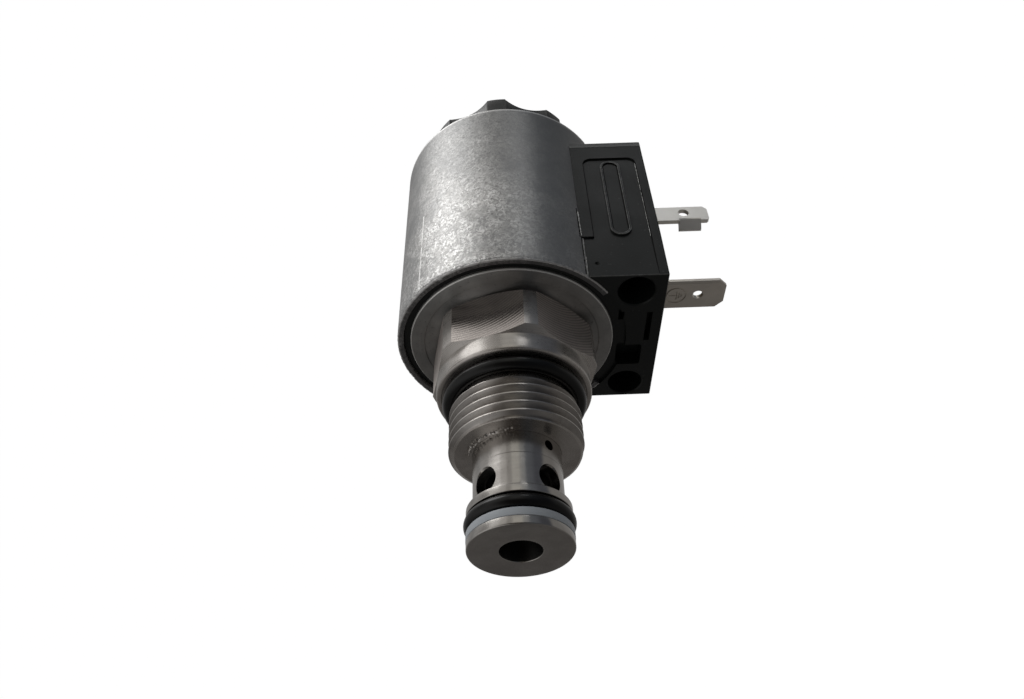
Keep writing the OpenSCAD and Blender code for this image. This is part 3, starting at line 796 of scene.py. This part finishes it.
def spring(name, node, wire, turns):
    """A coil spring with closed end turns, held at its upper end."""
    lo, hi = span(node)
    mean = (hi[0] - lo[0]) / 2 - wire - 0.01
    low, high = lo[2] + wire + 0.01, hi[2] - wire - 0.01
    shut = 2.05 * wire
    steps, sides = 36, 12
    section = [math.tau * j / sides for j in range(sides)]
    rings = []
    for i in range(turns * steps + 1):
        t = i / steps
        middle = min(max(t - 1, 0), turns - 2) / (turns - 2)
        z = low + shut * (min(t, 1) + max(t - turns + 1, 0)) + (high - low - 2 * shut) * middle
        wire_section = [(mean + wire * math.cos(b), z + wire * math.sin(b)) for b in section]
        rings.append(at_angle(wire_section, math.tau * t))
    obj = smooth(loft(name, rings), 60)
    finish_piece(obj, "cartridge", SPRING, "spring_steel", node)
    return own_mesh(obj)


# ---- coil: pole discs and shell ----

def disc(name, node, profile, material):
    obj = turned(name, subdivide(arc_fillet(profile), 1.2), segments=224)
    return finish_piece(smooth(obj, 30), "coil", material, "zinc_plate", node)


def lower_disc():
    """The disc over the hexagon, with a shallow recess and a paler outer edge."""
    lo, hi = span("lower_pole_disc")
    z, recess, pocket = lo[2], lo[2] + 0.14, 13.5
    obj = disc("lower_disc_plate", "lower_pole_disc", [
        (COIL_BORE_R, pocket, 0.05), (COIL_BORE_R, hi[2], 0.1), (DISC_R, hi[2], 0.1), (DISC_R, z, 0.28),
        (14.25, z, 0.05), (14.15, recess, 0.03), (10.95, recess, 0.1), (10.95, pocket, 0.05),
    ], [DISC_STEEL, PALE_EDGE])
    for poly in obj.data.polygons:
        far = math.hypot(poly.center.x, poly.center.y) / MM
        if far > DISC_R - 0.2 and -0.97 < poly.normal.z < -0.1:
            poly.material_index = 1
    return obj


def upper_disc():
    lo, hi = span("upper_pole_disc")
    return disc("upper_disc_plate", "upper_pole_disc", [
        (COIL_BORE_R, lo[2], 0.1), (COIL_BORE_R, hi[2], 0.15), (DISC_R, hi[2], 0.25), (DISC_R, lo[2], 0.1),
    ], DISC_STEEL)


def shell():
    """The rolled sheet round the coil, open towards the block, with a sheared, slightly ragged lower edge."""
    z0, z1 = SHELL_LO[2], SHELL_HI[2]
    outer, inner = SHELL_R, SHELL_R - SHELL_T
    profile = arc_fillet([(inner, z0, 0.12), (outer, z0, 0.2), (outer, z1, 0.25), (inner, z1, 0.15)])
    obj = sector("shell_sheet", subdivide(profile, 1.5), SHELL_GAP, math.tau - SHELL_GAP, 420)
    for v in obj.data.vertices:
        p = v.co / MM
        a = math.atan2(p.y, p.x)
        r = math.hypot(p.x, p.y)
        if p.z < z0 + 0.5 and r > inner + 0.3:
            rough = ripple(a * 34, r * 3, 1.7) + 0.7 * ripple(a * 95, r * 3, 5.2)
            v.co.z += MM * 0.16 * max(rough, -0.05)
            v.co.x -= MM * 0.07 * abs(rough) * math.cos(a)
            v.co.y -= MM * 0.07 * abs(rough) * math.sin(a)
    soften(obj, 0.3, 3, 50)
    return finish_piece(smooth(obj, 35), "coil", ZINC, "zinc_plate", "coil_shell")


# ---- connector block ----

def sort_edges(obj):
    """Of the rounded edges, in material 1, gives those that lie in inner corners material 2."""
    bm = bmesh.new()
    bm.from_mesh(obj.data)
    for face in bm.faces:
        if face.material_index == 1:
            bend = sum(e.calc_face_angle_signed(0.0) * e.calc_length() for e in face.edges)
            if bend < 0:
                face.material_index = 2
    bm.to_mesh(obj.data)
    bm.free()


def soften_plastic(obj, width=0.14):
    """Rounds the edges of a piece of the block and gives them material 1."""
    for material in (BLACK, BLACK_EDGE_HIGHLIGHT, BLACK_SHADE):
        obj.data.materials.append(material)
    return soften(obj, width, 2, 28, 1)


def plastic(obj, edge):
    """Gives a piece of the block its edges, painted shade in the inner corners and in a groove, and a paler
    lip above the groove with a painted sheen.
    """
    sort_edges(obj)
    smooth(obj, 40)
    level(obj)
    for poly in obj.data.polygons:
        # the rounded top edge gets the painted sheen, and the groove below it painted shade
        if poly.center.z > (BLOCK_TOP - 1.99) * MM and poly.normal.z < 0.97 and abs(poly.normal.x) < 0.3:
            poly.material_index = 3
        elif poly.center.z > (BLOCK_TOP - 2.21) * MM and 0.3 < abs(poly.normal.z) < 0.8:
            poly.material_index = 2
    return finish_piece(obj, "coil", [BLACK, edge, BLACK_SHADE, BLACK_TOP_SHEEN], "black_plastic")


def block_section(half, low, r):
    """The block seen from the end, as (y, z), with both top edges rounded."""
    return arc_fillet([(half, low), (half, BLOCK_TOP, r), (-half, BLOCK_TOP, r), (-half, low)], steps=8)


def shell_cutter():
    """What the shell and the coil inside it leave no room for."""
    return rod("cut", (0, 0, 0), (0, 0, 1), SHELL_R + 0.03, HOUSING_LO[2] - 1, BLOCK_TOP + 1, 256)


def block_cutters():
    """The holes and slots in the block: for the contacts, the earth blade, the insert and moulding relief."""
    low = HOUSING_LO[2]
    cutters = []
    for s in (-1, 1):
        pocket = [(0, low - 1), (3.1, low - 1), (3.1, low), (2.9, low + 0.2), (2.9, low + 8), (0, low + 8)]
        cutters.append(aim(turned("cut", pocket, segments=64), (19.4, s * 10.9, 0), (0, 0, 1)))
        y = s * BLADE_Y
        cutters.append(box("cut", (14.0, y - 0.42, SCREW_Z - 0.72), (30, y + 0.42, SCREW_Z + 2.82)))
        cutters.append(rod("cut", (0, y, SCREW_Z + 1), (1, 0, 0), 0.42, 12.0, 15.0, 24))
    cutters.append(box("cut", (21.5, -6.3, low - 1), (22.4, 0.2, low + 2.2)))
    cutters.append(box("cut", (17.1, -6.6, low - 1), (17.9, -4.3, low + 2.2)))
    relief = [(17.3, 1.2, 0.5), (21.4, 1.2, 0.5), (21.4, 6.0, 0.5), (17.3, 6.0, 0.5)]
    cutters.append(prism("cut", arc_fillet(relief), low - 1, low + 2.5))
    cutters.append(box("cut", (17.0, -3.17, SCREW_Z - 9.42), (40, 3.17, SCREW_Z - 8.58)))
    cutters.append(rod("cut", (0, 0, SCREW_Z), (1, 0, 0), 2.52, 17.0, 30.0, 48))
    cutters.append(rod("cut", (13.4, -SIDE + 0.3, 14.65), (0, -1, 0), 0.1, 0.0, 0.4, 16, 0.5))
    return cutters


def housing():
    """The overmould: the block, the web through the shell's gap and the jacket round the winding."""
    obj = prism("housing_moulding", block_section(SIDE, HOUSING_LO[2], 1.2), 9.5, FACE_X, "x")
    soften_plastic(obj)
    cut(obj, shell_cutter())
    low, top, step = 12.2, 51.4, 45.8
    web = [(16.6, low), (18.9, low), (18.9, step), (18.5, step), (18.5, top), (16.6, top)]
    gap = math.radians(35.5)
    jacket = [
        (17.5, low), (17.5, top), (16.55, top), (16.55, 49.03), (15.9, 49.03), (15.9, 14.62), (16.55, 14.62),
        (16.55, low),
    ]
    join(obj, sector("web", web, -gap, gap, 48), turned("jacket", jacket, segments=256))
    cut(obj, *block_cutters())
    clean(obj)
    plastic(obj, BLACK_EDGE_HIGHLIGHT)
    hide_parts("connector_housing")


def block_frame(name, side):
    """The raised frame on one side of the block: a bar along the top and two legs, one of them fading out."""
    low = HOUSING_LO[2] + 0.1
    face, bar, inner, outer, foot = FACE_X - 0.01, 41.37, 13.54, 22.47, 20.4
    wide = SIDE + 0.3
    outline = arc_fillet([
        (9.5, foot + 0.1), (inner, foot + 0.1), (inner, bar, 1.4), (outer, bar, 1.4), (outer, foot),
        (outer, low), (face, low), (face, foot), (face, BLOCK_TOP + 1), (9.5, BLOCK_TOP + 1),
    ], steps=6)
    obj = prism(name, outline, *sorted((side * (SIDE - 0.5), side * wide)), "y")
    for v in obj.data.vertices:
        if v.co.z < (low + 0.1) * MM and abs(v.co.y) > SIDE * MM:
            v.co.y = side * (SIDE + 0.02) * MM
    combine(obj, [prism("roof", block_section(wide, low - 1, 1.3), 9, FACE_X + 1, "x")], "INTERSECT")
    clean(obj)
    soften_plastic(obj)
    # a fine groove sets off the rounded lip along the top
    groove = [(side * (wide + y), BLOCK_TOP + z) for y, z in ((0.1, -2.23), (-0.08, -2.1), (0.1, -1.97))]
    cut(obj, shell_cutter(), prism("cut", groove, 9, FACE_X + 1, "x"))
    # the frame's edges get the painted shade
    plastic(obj, BLACK_SHADE)


def pill(half_w, low, high, steps=20):
    """Outline of a plate with round ends on the block's side, as (x, z)."""
    ends = ((high - half_w, 0.0), (low + half_w, math.pi))
    turns = [(z, start + math.pi * i / steps) for z, start in ends for i in range(steps + 1)]
    return [(18.0 + half_w * math.cos(t), z + half_w * math.sin(t)) for z, t in turns]


def badge(name, side):
    """A raised rim with round ends, where a name plate would stand, round a plain sunken field."""
    low, high, rim = 20.9, 40.5, 0.44
    ridge = prism(name, pill(1.7, low, high), *sorted((side * (SIDE - 0.5), side * (SIDE + 0.4))), "y")
    field = pill(1.7 - rim, low + rim, high - rim)
    hollow = prism("hollow", field, *sorted((side * (SIDE + 0.12), side * (SIDE + 2))), "y")
    cut(ridge, hollow)
    clean(ridge)
    soften_plastic(ridge, 0.15)
    plastic(ridge, BADGE_EDGE_HIGHLIGHT)


def flash(name, path, width, seed, material):
    """A thin ragged line along a path of points in millimetres: moulding flash, and also the dark strips of
    painted shadow beside it.
    """
    out = Vector((0, -1, 0))
    section = ((-1, -0.28), (-0.4, 0.7), (0.4, 0.7), (1, -0.28))
    rings = []
    for a, b in zip(path, path[1:]):
        a, b = Vector(a), Vector(b)
        n = max(2, int((b - a).length / 0.12))
        side = (b - a).normalized().cross(out).normalized()
        for i in range(n + (b == Vector(path[-1]))):
            p = a.lerp(b, i / n)
            w = width * (0.65 + 0.5 * ripple(p.x * 3, p.z * 3, seed))
            p = p + side * 0.05 * ripple(p.z * 2.1, seed, 0)
            rings.append([p + side * w * t + out * w * h for t, h in section])
    return finish_piece(smooth(loft(name, rings), 60), "coil", material, "black_plastic")


def seam_flash():
    """Flash down the seam between the block and the web, and at the frame's outer leg, painted pale as a
    highlight, with dark strips of painted shadow in the seam beside it.
    """
    flash("flash_upper", [(11.44, -14.76, 26.8), (11.52, -14.76, 20.8)], 0.12, 1.0, FLASH_HIGHLIGHT)
    flash("flash_lower", [
        (11.72, -14.5, 20.4), (11.66, -14.53, 16.2), (11.78, -14.5, 16.0), (11.74, -14.5, 11.95),
    ], 0.12, 4.0, FLASH_HIGHLIGHT)
    # dark strips beside the flash: painted shadow in the seam
    flash("seam_shadow_upper", [(11.2, -14.82, 27.6), (11.3, -14.82, 20.5)], 0.14, 7.0, BLACK_SHADE)
    flash("seam_shadow_lower", [(11.44, -14.66, 20.5), (11.46, -14.66, 11.9)], 0.14, 9.0, BLACK_SHADE)
    flash("flash_panel", [(22.5, -14.46, 40.2), (22.5, -14.46, 20.6)], 0.1, 2.0, FLASH_HIGHLIGHT)


# ---- contacts ----

def contact(name, node, side):
    """A narrow contact: a strip with a hole and a short wing that the lower edge flows into, bent inwards."""
    tip, y = span(node)[1][0], side * BLADE_Y
    root, half = 14.0, BLADE_T / 2
    z0, z1 = SCREW_Z - 0.7, SCREW_Z + 2.8
    strip = prism(name, arc_fillet([
        (root, z0), (tip - 0.35, z0, 0.2), (tip, z0 + 0.35, 0.2),
        (tip, z1 - 0.7, 0.35), (tip - 0.7, z1, 0.35), (root, z1),
    ]), y - half, y + half, "y")
    cut(strip, box("cut", (WING_X[0], y - 1, z0 - 1), (WING_X[1], y + 1, z1 - 0.8)))
    lean, wide, bend = math.radians(42), 2.1, z0 + 0.35
    face = y + side * half
    inner = face - side * BLADE_T
    edge_y, edge_z = face - side * math.sin(lean) * wide, bend - math.cos(lean) * wide
    wing = prism("wing", arc_fillet([
        (face, z1 - 0.8), (face, bend, 0.5), (edge_y, edge_z, 0.15),
        (edge_y - side * BLADE_T * math.cos(lean), edge_z + BLADE_T * math.sin(lean), 0.15),
        (inner, bend + 0.3, 0.3), (inner, z1 - 0.8),
    ]), *WING_X, "x")
    foot = z0 - 1.35
    trim = [(WING_X[0], z1), (WING_X[0], foot, 0.4), (WING_X[1], foot, 0.4), (WING_X[1], z1)]
    combine(wing, [prism("trim", arc_fillet(trim), y - 5, y + 5, "y")], "INTERSECT")
    join(strip, wing)
    cut(strip, rod("hole", (30.35, y, SCREW_Z + 1.25), (0, 1, 0), 0.9, -2, 2, 40))
    clean(strip, 0.2)
    soften(strip, 0.1, 2, 30)
    smooth(strip, 45)
    level(strip)
    return finish_piece(strip, "coil", TIN, "tinned_contact", node)


def ground():
    """The flat earth blade, with coined edges and an earth symbol stamped in a circle."""
    lo, hi = span("ground_blade")
    tip, half, z = hi[0], hi[1], (lo[2] + hi[2]) / 2

    def outline(inset):
        root, h, t, c = 17.1, half - inset, tip - inset, 1.3 - inset * 0.4
        return arc_fillet([
            (root, -h), (t - c, -h, 0.1), (t, -h + c, 0.1), (t, h - c, 0.1), (t - c, h, 0.1), (root, h),
        ])

    blade = prism("ground_blade_stamped", outline(0.0), z - 0.28, z + 0.28)
    rim = prism("rim", outline(0.22), lo[2] + 0.06, hi[2] - 0.06)
    face = prism("face", outline(0.5), lo[2], hi[2])
    join(blade, rim, face)
    cut(blade, rod("hole", (tip - 4.7, 0, z), (0, 0, 1), 0.9, -2, 2, 48))
    # the generic earth symbol: a stem and three bars in a circle
    x, below, deep = 28.5, lo[2] - 1, lo[2] + 0.15
    ring = turned("groove", [(1.56, below), (1.78, below), (1.78, deep), (1.56, deep)], segments=64)
    ring.data.transform(Matrix.Translation((x * MM, 0, 0)))
    marks = [ring, box("groove", (x - 1.2, -0.09, below), (x, 0.09, deep))]
    for i, w in enumerate((0.95, 0.65, 0.35)):
        marks.append(box("groove", (x + 0.42 * i - 0.02, -w, below), (x + 0.42 * i + 0.17, w, deep)))
    cut(blade, *marks)
    clean(blade, 0.2)
    soften(blade, 0.04, 1, 30)
    smooth(blade, 25)
    level(blade)
    return finish_piece(blade, "coil", TIN_DULL, "tinned_contact", "ground_blade")


def insert():
    """Brass insert with a real M3 thread inside and a knurled outside."""
    lo, hi = span("threaded_insert")
    length, outer = hi[0] - lo[0], (hi[2] - lo[2]) / 2
    pitch, major, core, knurls = 0.5, 1.5, 1.27, 96
    heights = thread_rows(pitch, 0.15, length - 0.15)

    def outline(a):
        low = outer - (0.06 if round(a / math.tau * knurls) % 2 else 0.0)
        ring = [(outer - 0.1, 0.0), (outer, 0.1)]
        ring += [(low, z) for z in (0.8, 1.6, 2.4, length - 2.4, length - 1.6, length - 0.8)]
        ring += [(outer, length - 0.1), (outer - 0.1, length), (major + 0.1, length)]
        inner = [(max(thread_radius(a, z, pitch, major, 0.0), core), z) for z in heights(a, 0.0)]
        return ring + inner[::-1] + [(major + 0.1, 0.0)]

    obj = turned("insert_brass", outline, [math.tau * i / knurls for i in range(knurls + 1)])
    turn = Matrix.Rotation(math.radians(90), 4, "Y")
    obj.data.transform(Matrix.Translation((lo[0] * MM, 0, SCREW_Z * MM)) @ turn)
    return finish_piece(smooth(obj, 24), "coil", BRASS, "brass_insert", "threaded_insert")


# ---- coil nut ----

def coil_nut():
    """Eight lobes with flat ends and hollow flanks between them, over a round skirt."""
    low, top = NUT_LO[2], NUT_HI[2]
    outer, valley, scoop = radius("coil_nut"), 13.5, 9.1
    first, step = math.radians(-94.5), math.tau / 8
    flat, edge = math.radians(6.5), math.radians(1.6)

    def lobe(a):
        d = abs((a - first + step / 2) % step - step / 2)
        if d <= flat:
            return outer
        t = step / 2 - d
        away = valley + scoop
        r = away * math.cos(t) - math.sqrt(scoop ** 2 - (away * math.sin(t)) ** 2)
        corner = max(0.0, 1 - (d - flat) / edge)
        return min(r, outer) - 0.12 * corner * (1 - corner)

    def outline(a):
        r = lobe(a)
        ring = [(11.3, low), (11.3, low + 2.05), (7.05, low + 2.05)]
        ring += [(7.05, top - 1.5), (8.2, top - 1.5), (8.2, top - 0.2), (8.3, top - 0.06), (8.45, top)]
        ring += [(r - 1.2, top), (r - 0.42, top - 0.02), (r - 0.2, top - 0.1), (r - 0.06, top - 0.24)]
        ring += [(r, top - 0.42)] + [(r, low + 1.2 + (top - low - 1.8) * t) for t in (0.8, 0.6, 0.4, 0.2)]
        ring += [(r, low + 1.4), (r + (outer - r) * 0.3, low + 1.22), (outer - 0.12, low + 1.18)]
        ring += [(outer, low + 1.05), (outer, low + 0.25), (outer - 0.2, low + 0.02), (outer - 0.3, low)]
        return ring

    # each lobe in turn: its flat end, the corner, the hollow and the next corner
    spans = ((-flat, flat, 8), (flat, flat + edge, 3), (flat + edge, step - flat - edge, 28),
             (step - flat - edge, step - flat, 3))
    angles = [first + step * k + a + (b - a) * i / n for k in range(8) for a, b, n in spans for i in range(n)]
    obj = turned("coil_nut_lobed", outline, angles)
    return finish_piece(smooth(obj, 26), "nut", NUT_GREY, "nut_plastic", "coil_nut")


# ---- all pieces ----

valve_body()
valve_cage()
seal("port_seal", "port_o_ring", "cartridge")
seal("nose_seal", "nose_o_ring", "cartridge")
seal("tube_seal", "tube_o_ring", "cartridge")
seal("lower_coil_seal", "coil_lower_seal", "coil")
seal("upper_coil_seal", "coil_upper_seal", "nut_seal")
backup_ring()
spring("armature_spring_coil", "armature_spring", 0.4, 7)
spring("poppet_spring_coil", "poppet_spring", 0.3, 8)
lower_disc()
upper_disc()
shell()
housing()
for suffix, side in (("near", -1), ("far", 1)):
    block_frame("frame_" + suffix, side)
    badge("badge_" + suffix, side)
seam_flash()
contact("contact_near", "contact_blade_1", -1)
contact("contact_far", "contact_blade_2", 1)
ground()
insert()
coil_nut()

# the steel parts hidden inside get the dark steel, painted shade
KEPT = {
    "main_poppet": STEEL_SHADED, "pilot_needle": STEEL_SHADED, "armature": STEEL_SHADED, "pole_core": STEEL_SHADED,
    "armature_tube": STEEL, "isolation_ring": BRONZE,
    "coil_bobbin": BLACK, "coil_winding": COPPER, "coil_lead_1": COPPER, "coil_lead_2": COPPER,
}
for node, material in KEPT.items():
    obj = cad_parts[node]
    obj.data.materials.clear()
    obj.data.materials.append(material)


# ---- camera, light and surroundings ----

scene = bpy.context.scene
scene.view_settings.view_transform = "Standard"
scene.view_settings.look = "None"
FLOOR_Z = -190


def camera():
    """The camera stands below and in front of the valve and looks up at it."""
    data = bpy.data.cameras.new("camera")
    data.sensor_width = 36.0
    data.lens = 28.805
    data.clip_start, data.clip_end = 0.005, 20.0
    obj = bpy.data.objects.new("camera", data)
    scene.collection.objects.link(obj)
    tilt, roll, turn = math.radians(42.07), math.radians(-2.51), math.radians(0.73)
    rows = Matrix(((1, 0, 0), (0, math.sin(tilt), -math.cos(tilt)), (0, math.cos(tilt), math.sin(tilt))))
    rows = Matrix.Rotation(roll, 3, "Z") @ rows @ Matrix.Rotation(turn, 3, "Z")
    axes = Matrix((rows[0], -rows[1], -rows[2])).transposed()
    obj.matrix_world = Matrix.Translation(Vector((-1.293, -98.815, -78.762)) * MM) @ axes.to_4x4()
    scene.camera = obj


def lamp(name, place, size, power):
    """A square soft light that points at the middle of the valve."""
    data = bpy.data.lights.new(name, "AREA")
    data.shape = "RECTANGLE"
    data.size, data.size_y = size, size
    data.energy = power
    obj = bpy.data.objects.new(name, data)
    scene.collection.objects.link(obj)
    obj.location = place
    obj.rotation_mode = "QUATERNION"
    obj.rotation_quaternion = (Vector((0, 0, 0.018)) - Vector(place)).to_track_quat("-Z", "Y")


# panels of light round the valve's axis, as (azimuth in degrees, red, green, blue). Level with the valve
# there is a broad window on the left and a dark room on the right
LEVEL_PANELS = (
    (-180, 0.36, 0.355, 0.35), (-172, 0.32, 0.315, 0.31), (-160, 0.36, 0.355, 0.345),
    (-150, 0.70, 0.69, 0.675), (-139, 0.67, 0.66, 0.65), (-130, 0.58, 0.57, 0.55),
    (-119, 0.58, 0.565, 0.545), (-116, 0.40, 0.39, 0.37), (-107, 0.40, 0.39, 0.37),
    (-103, 0.62, 0.61, 0.57), (-87, 0.60, 0.59, 0.55), (-83, 0.38, 0.385, 0.375), (-73, 0.29, 0.30, 0.31),
    (-69, 0.17, 0.185, 0.205), (-55, 0.14, 0.15, 0.17), (-45, 0.085, 0.09, 0.105),
    (-27, 0.085, 0.09, 0.105), (-20, 0.26, 0.255, 0.245), (5, 0.24, 0.235, 0.23), (60, 0.34, 0.335, 0.33),
    (140, 0.34, 0.335, 0.33), (152, 0.28, 0.28, 0.28), (165, 0.40, 0.40, 0.40), (180, 0.36, 0.355, 0.35),
)
CEILING_PANELS = (
    (-180, 1.30, 1.29, 1.28), (-165, 1.36, 1.35, 1.33), (-150, 1.20, 1.19, 1.17), (-135, 0.90, 0.89, 0.875),
    (-118, 0.50, 0.49, 0.48), (-95, 0.38, 0.375, 0.37), (-80, 0.30, 0.305, 0.31), (-65, 0.13, 0.14, 0.155),
    (-50, 0.11, 0.12, 0.135), (-25, 0.11, 0.12, 0.135), (5, 0.24, 0.235, 0.23), (60, 0.34, 0.335, 0.33),
    (140, 0.40, 0.40, 0.40), (160, 0.80, 0.80, 0.79), (180, 1.30, 1.29, 1.28),
)
LOWER_PANELS = (
    (-180, 0.56, 0.555, 0.55), (-150, 0.60, 0.59, 0.58), (-132, 0.28, 0.27, 0.26),
    (-114, 0.08, 0.071, 0.064), (-88, 0.07, 0.062, 0.056), (-60, 0.07, 0.078, 0.09),
    (-35, 0.10, 0.10, 0.10), (0, 0.16, 0.155, 0.15), (50, 0.12, 0.115, 0.11), (90, 0.105, 0.10, 0.097),
    (140, 0.14, 0.135, 0.13), (180, 0.56, 0.555, 0.55),
)


def sky():
    """Soft studio surroundings with panels of light and shade round the valve's axis."""
    world = bpy.data.worlds.new("world")
    scene.world = world
    world.use_nodes = True
    n = Nodes(world.node_tree)
    x, y, z = n.split(n.coordinates("Generated"))
    around = n.math("ARCTAN2", y, x) / math.tau + 0.5
    rise = z * 0.5 + 0.5
    lower, upper, ceiling = (
        n.ramp(around, *[(a / 360 + 0.5, tuple(colour)) for a, *colour in panels])
        for panels in (LOWER_PANELS, LEVEL_PANELS, CEILING_PANELS)
    )
    shown = n.mix(n.ramp(rise, (0.36, 0), (0.62, 1)), lower, upper)
    shown = n.mix(n.ramp(rise, (0.785, 0), (0.85, 1)), shown, ceiling)
    background = world.node_tree.nodes["Background"]
    n.put(shown, background.inputs["Color"])
    background.inputs["Strength"].default_value = 1.0


def surroundings():
    """A pale floor well below the hanging valve, and a plain white backdrop all round."""
    wide = 1500
    corners = [(-wide, -wide, FLOOR_Z), (wide, -wide, FLOOR_Z), (wide, wide, FLOOR_Z), (-wide, wide, FLOOR_Z)]
    floor = build("floor", corners, [(0, 1, 2, 3)])
    n = Finish("pale_floor")
    tone = n.mix(n.noise(n.place, 3.0), (0.80, 0.80, 0.80), (0.84, 0.84, 0.84))
    floor.data.materials.append(n.done(tone, 0.8))
    bm = bmesh.new()
    bmesh.ops.create_icosphere(bm, subdivisions=5, radius=4.0)
    mesh = bpy.data.meshes.new("backdrop")
    bm.to_mesh(mesh)
    bm.free()
    backdrop = bpy.data.objects.new("backdrop", mesh)
    scene.collection.objects.link(backdrop)
    white = Finish("backdrop_white").done((0, 0, 0), 1.0, Emission_Color=(1, 1, 1), Emission_Strength=1.0)
    mesh.materials.append(white)
    # they don't light the valve: the sky and the lamps do
    for far in (floor, backdrop):
        far.visible_diffuse = False
        far.visible_glossy = False
        far.visible_transmission = False
        far.visible_shadow = False


camera()
sky()
surroundings()
lamp("window", (-0.46, -0.21, 0.68), 0.4, 0.9)
lamp("strip", (0.136, -0.473, 0.630), 0.13, 0.14)
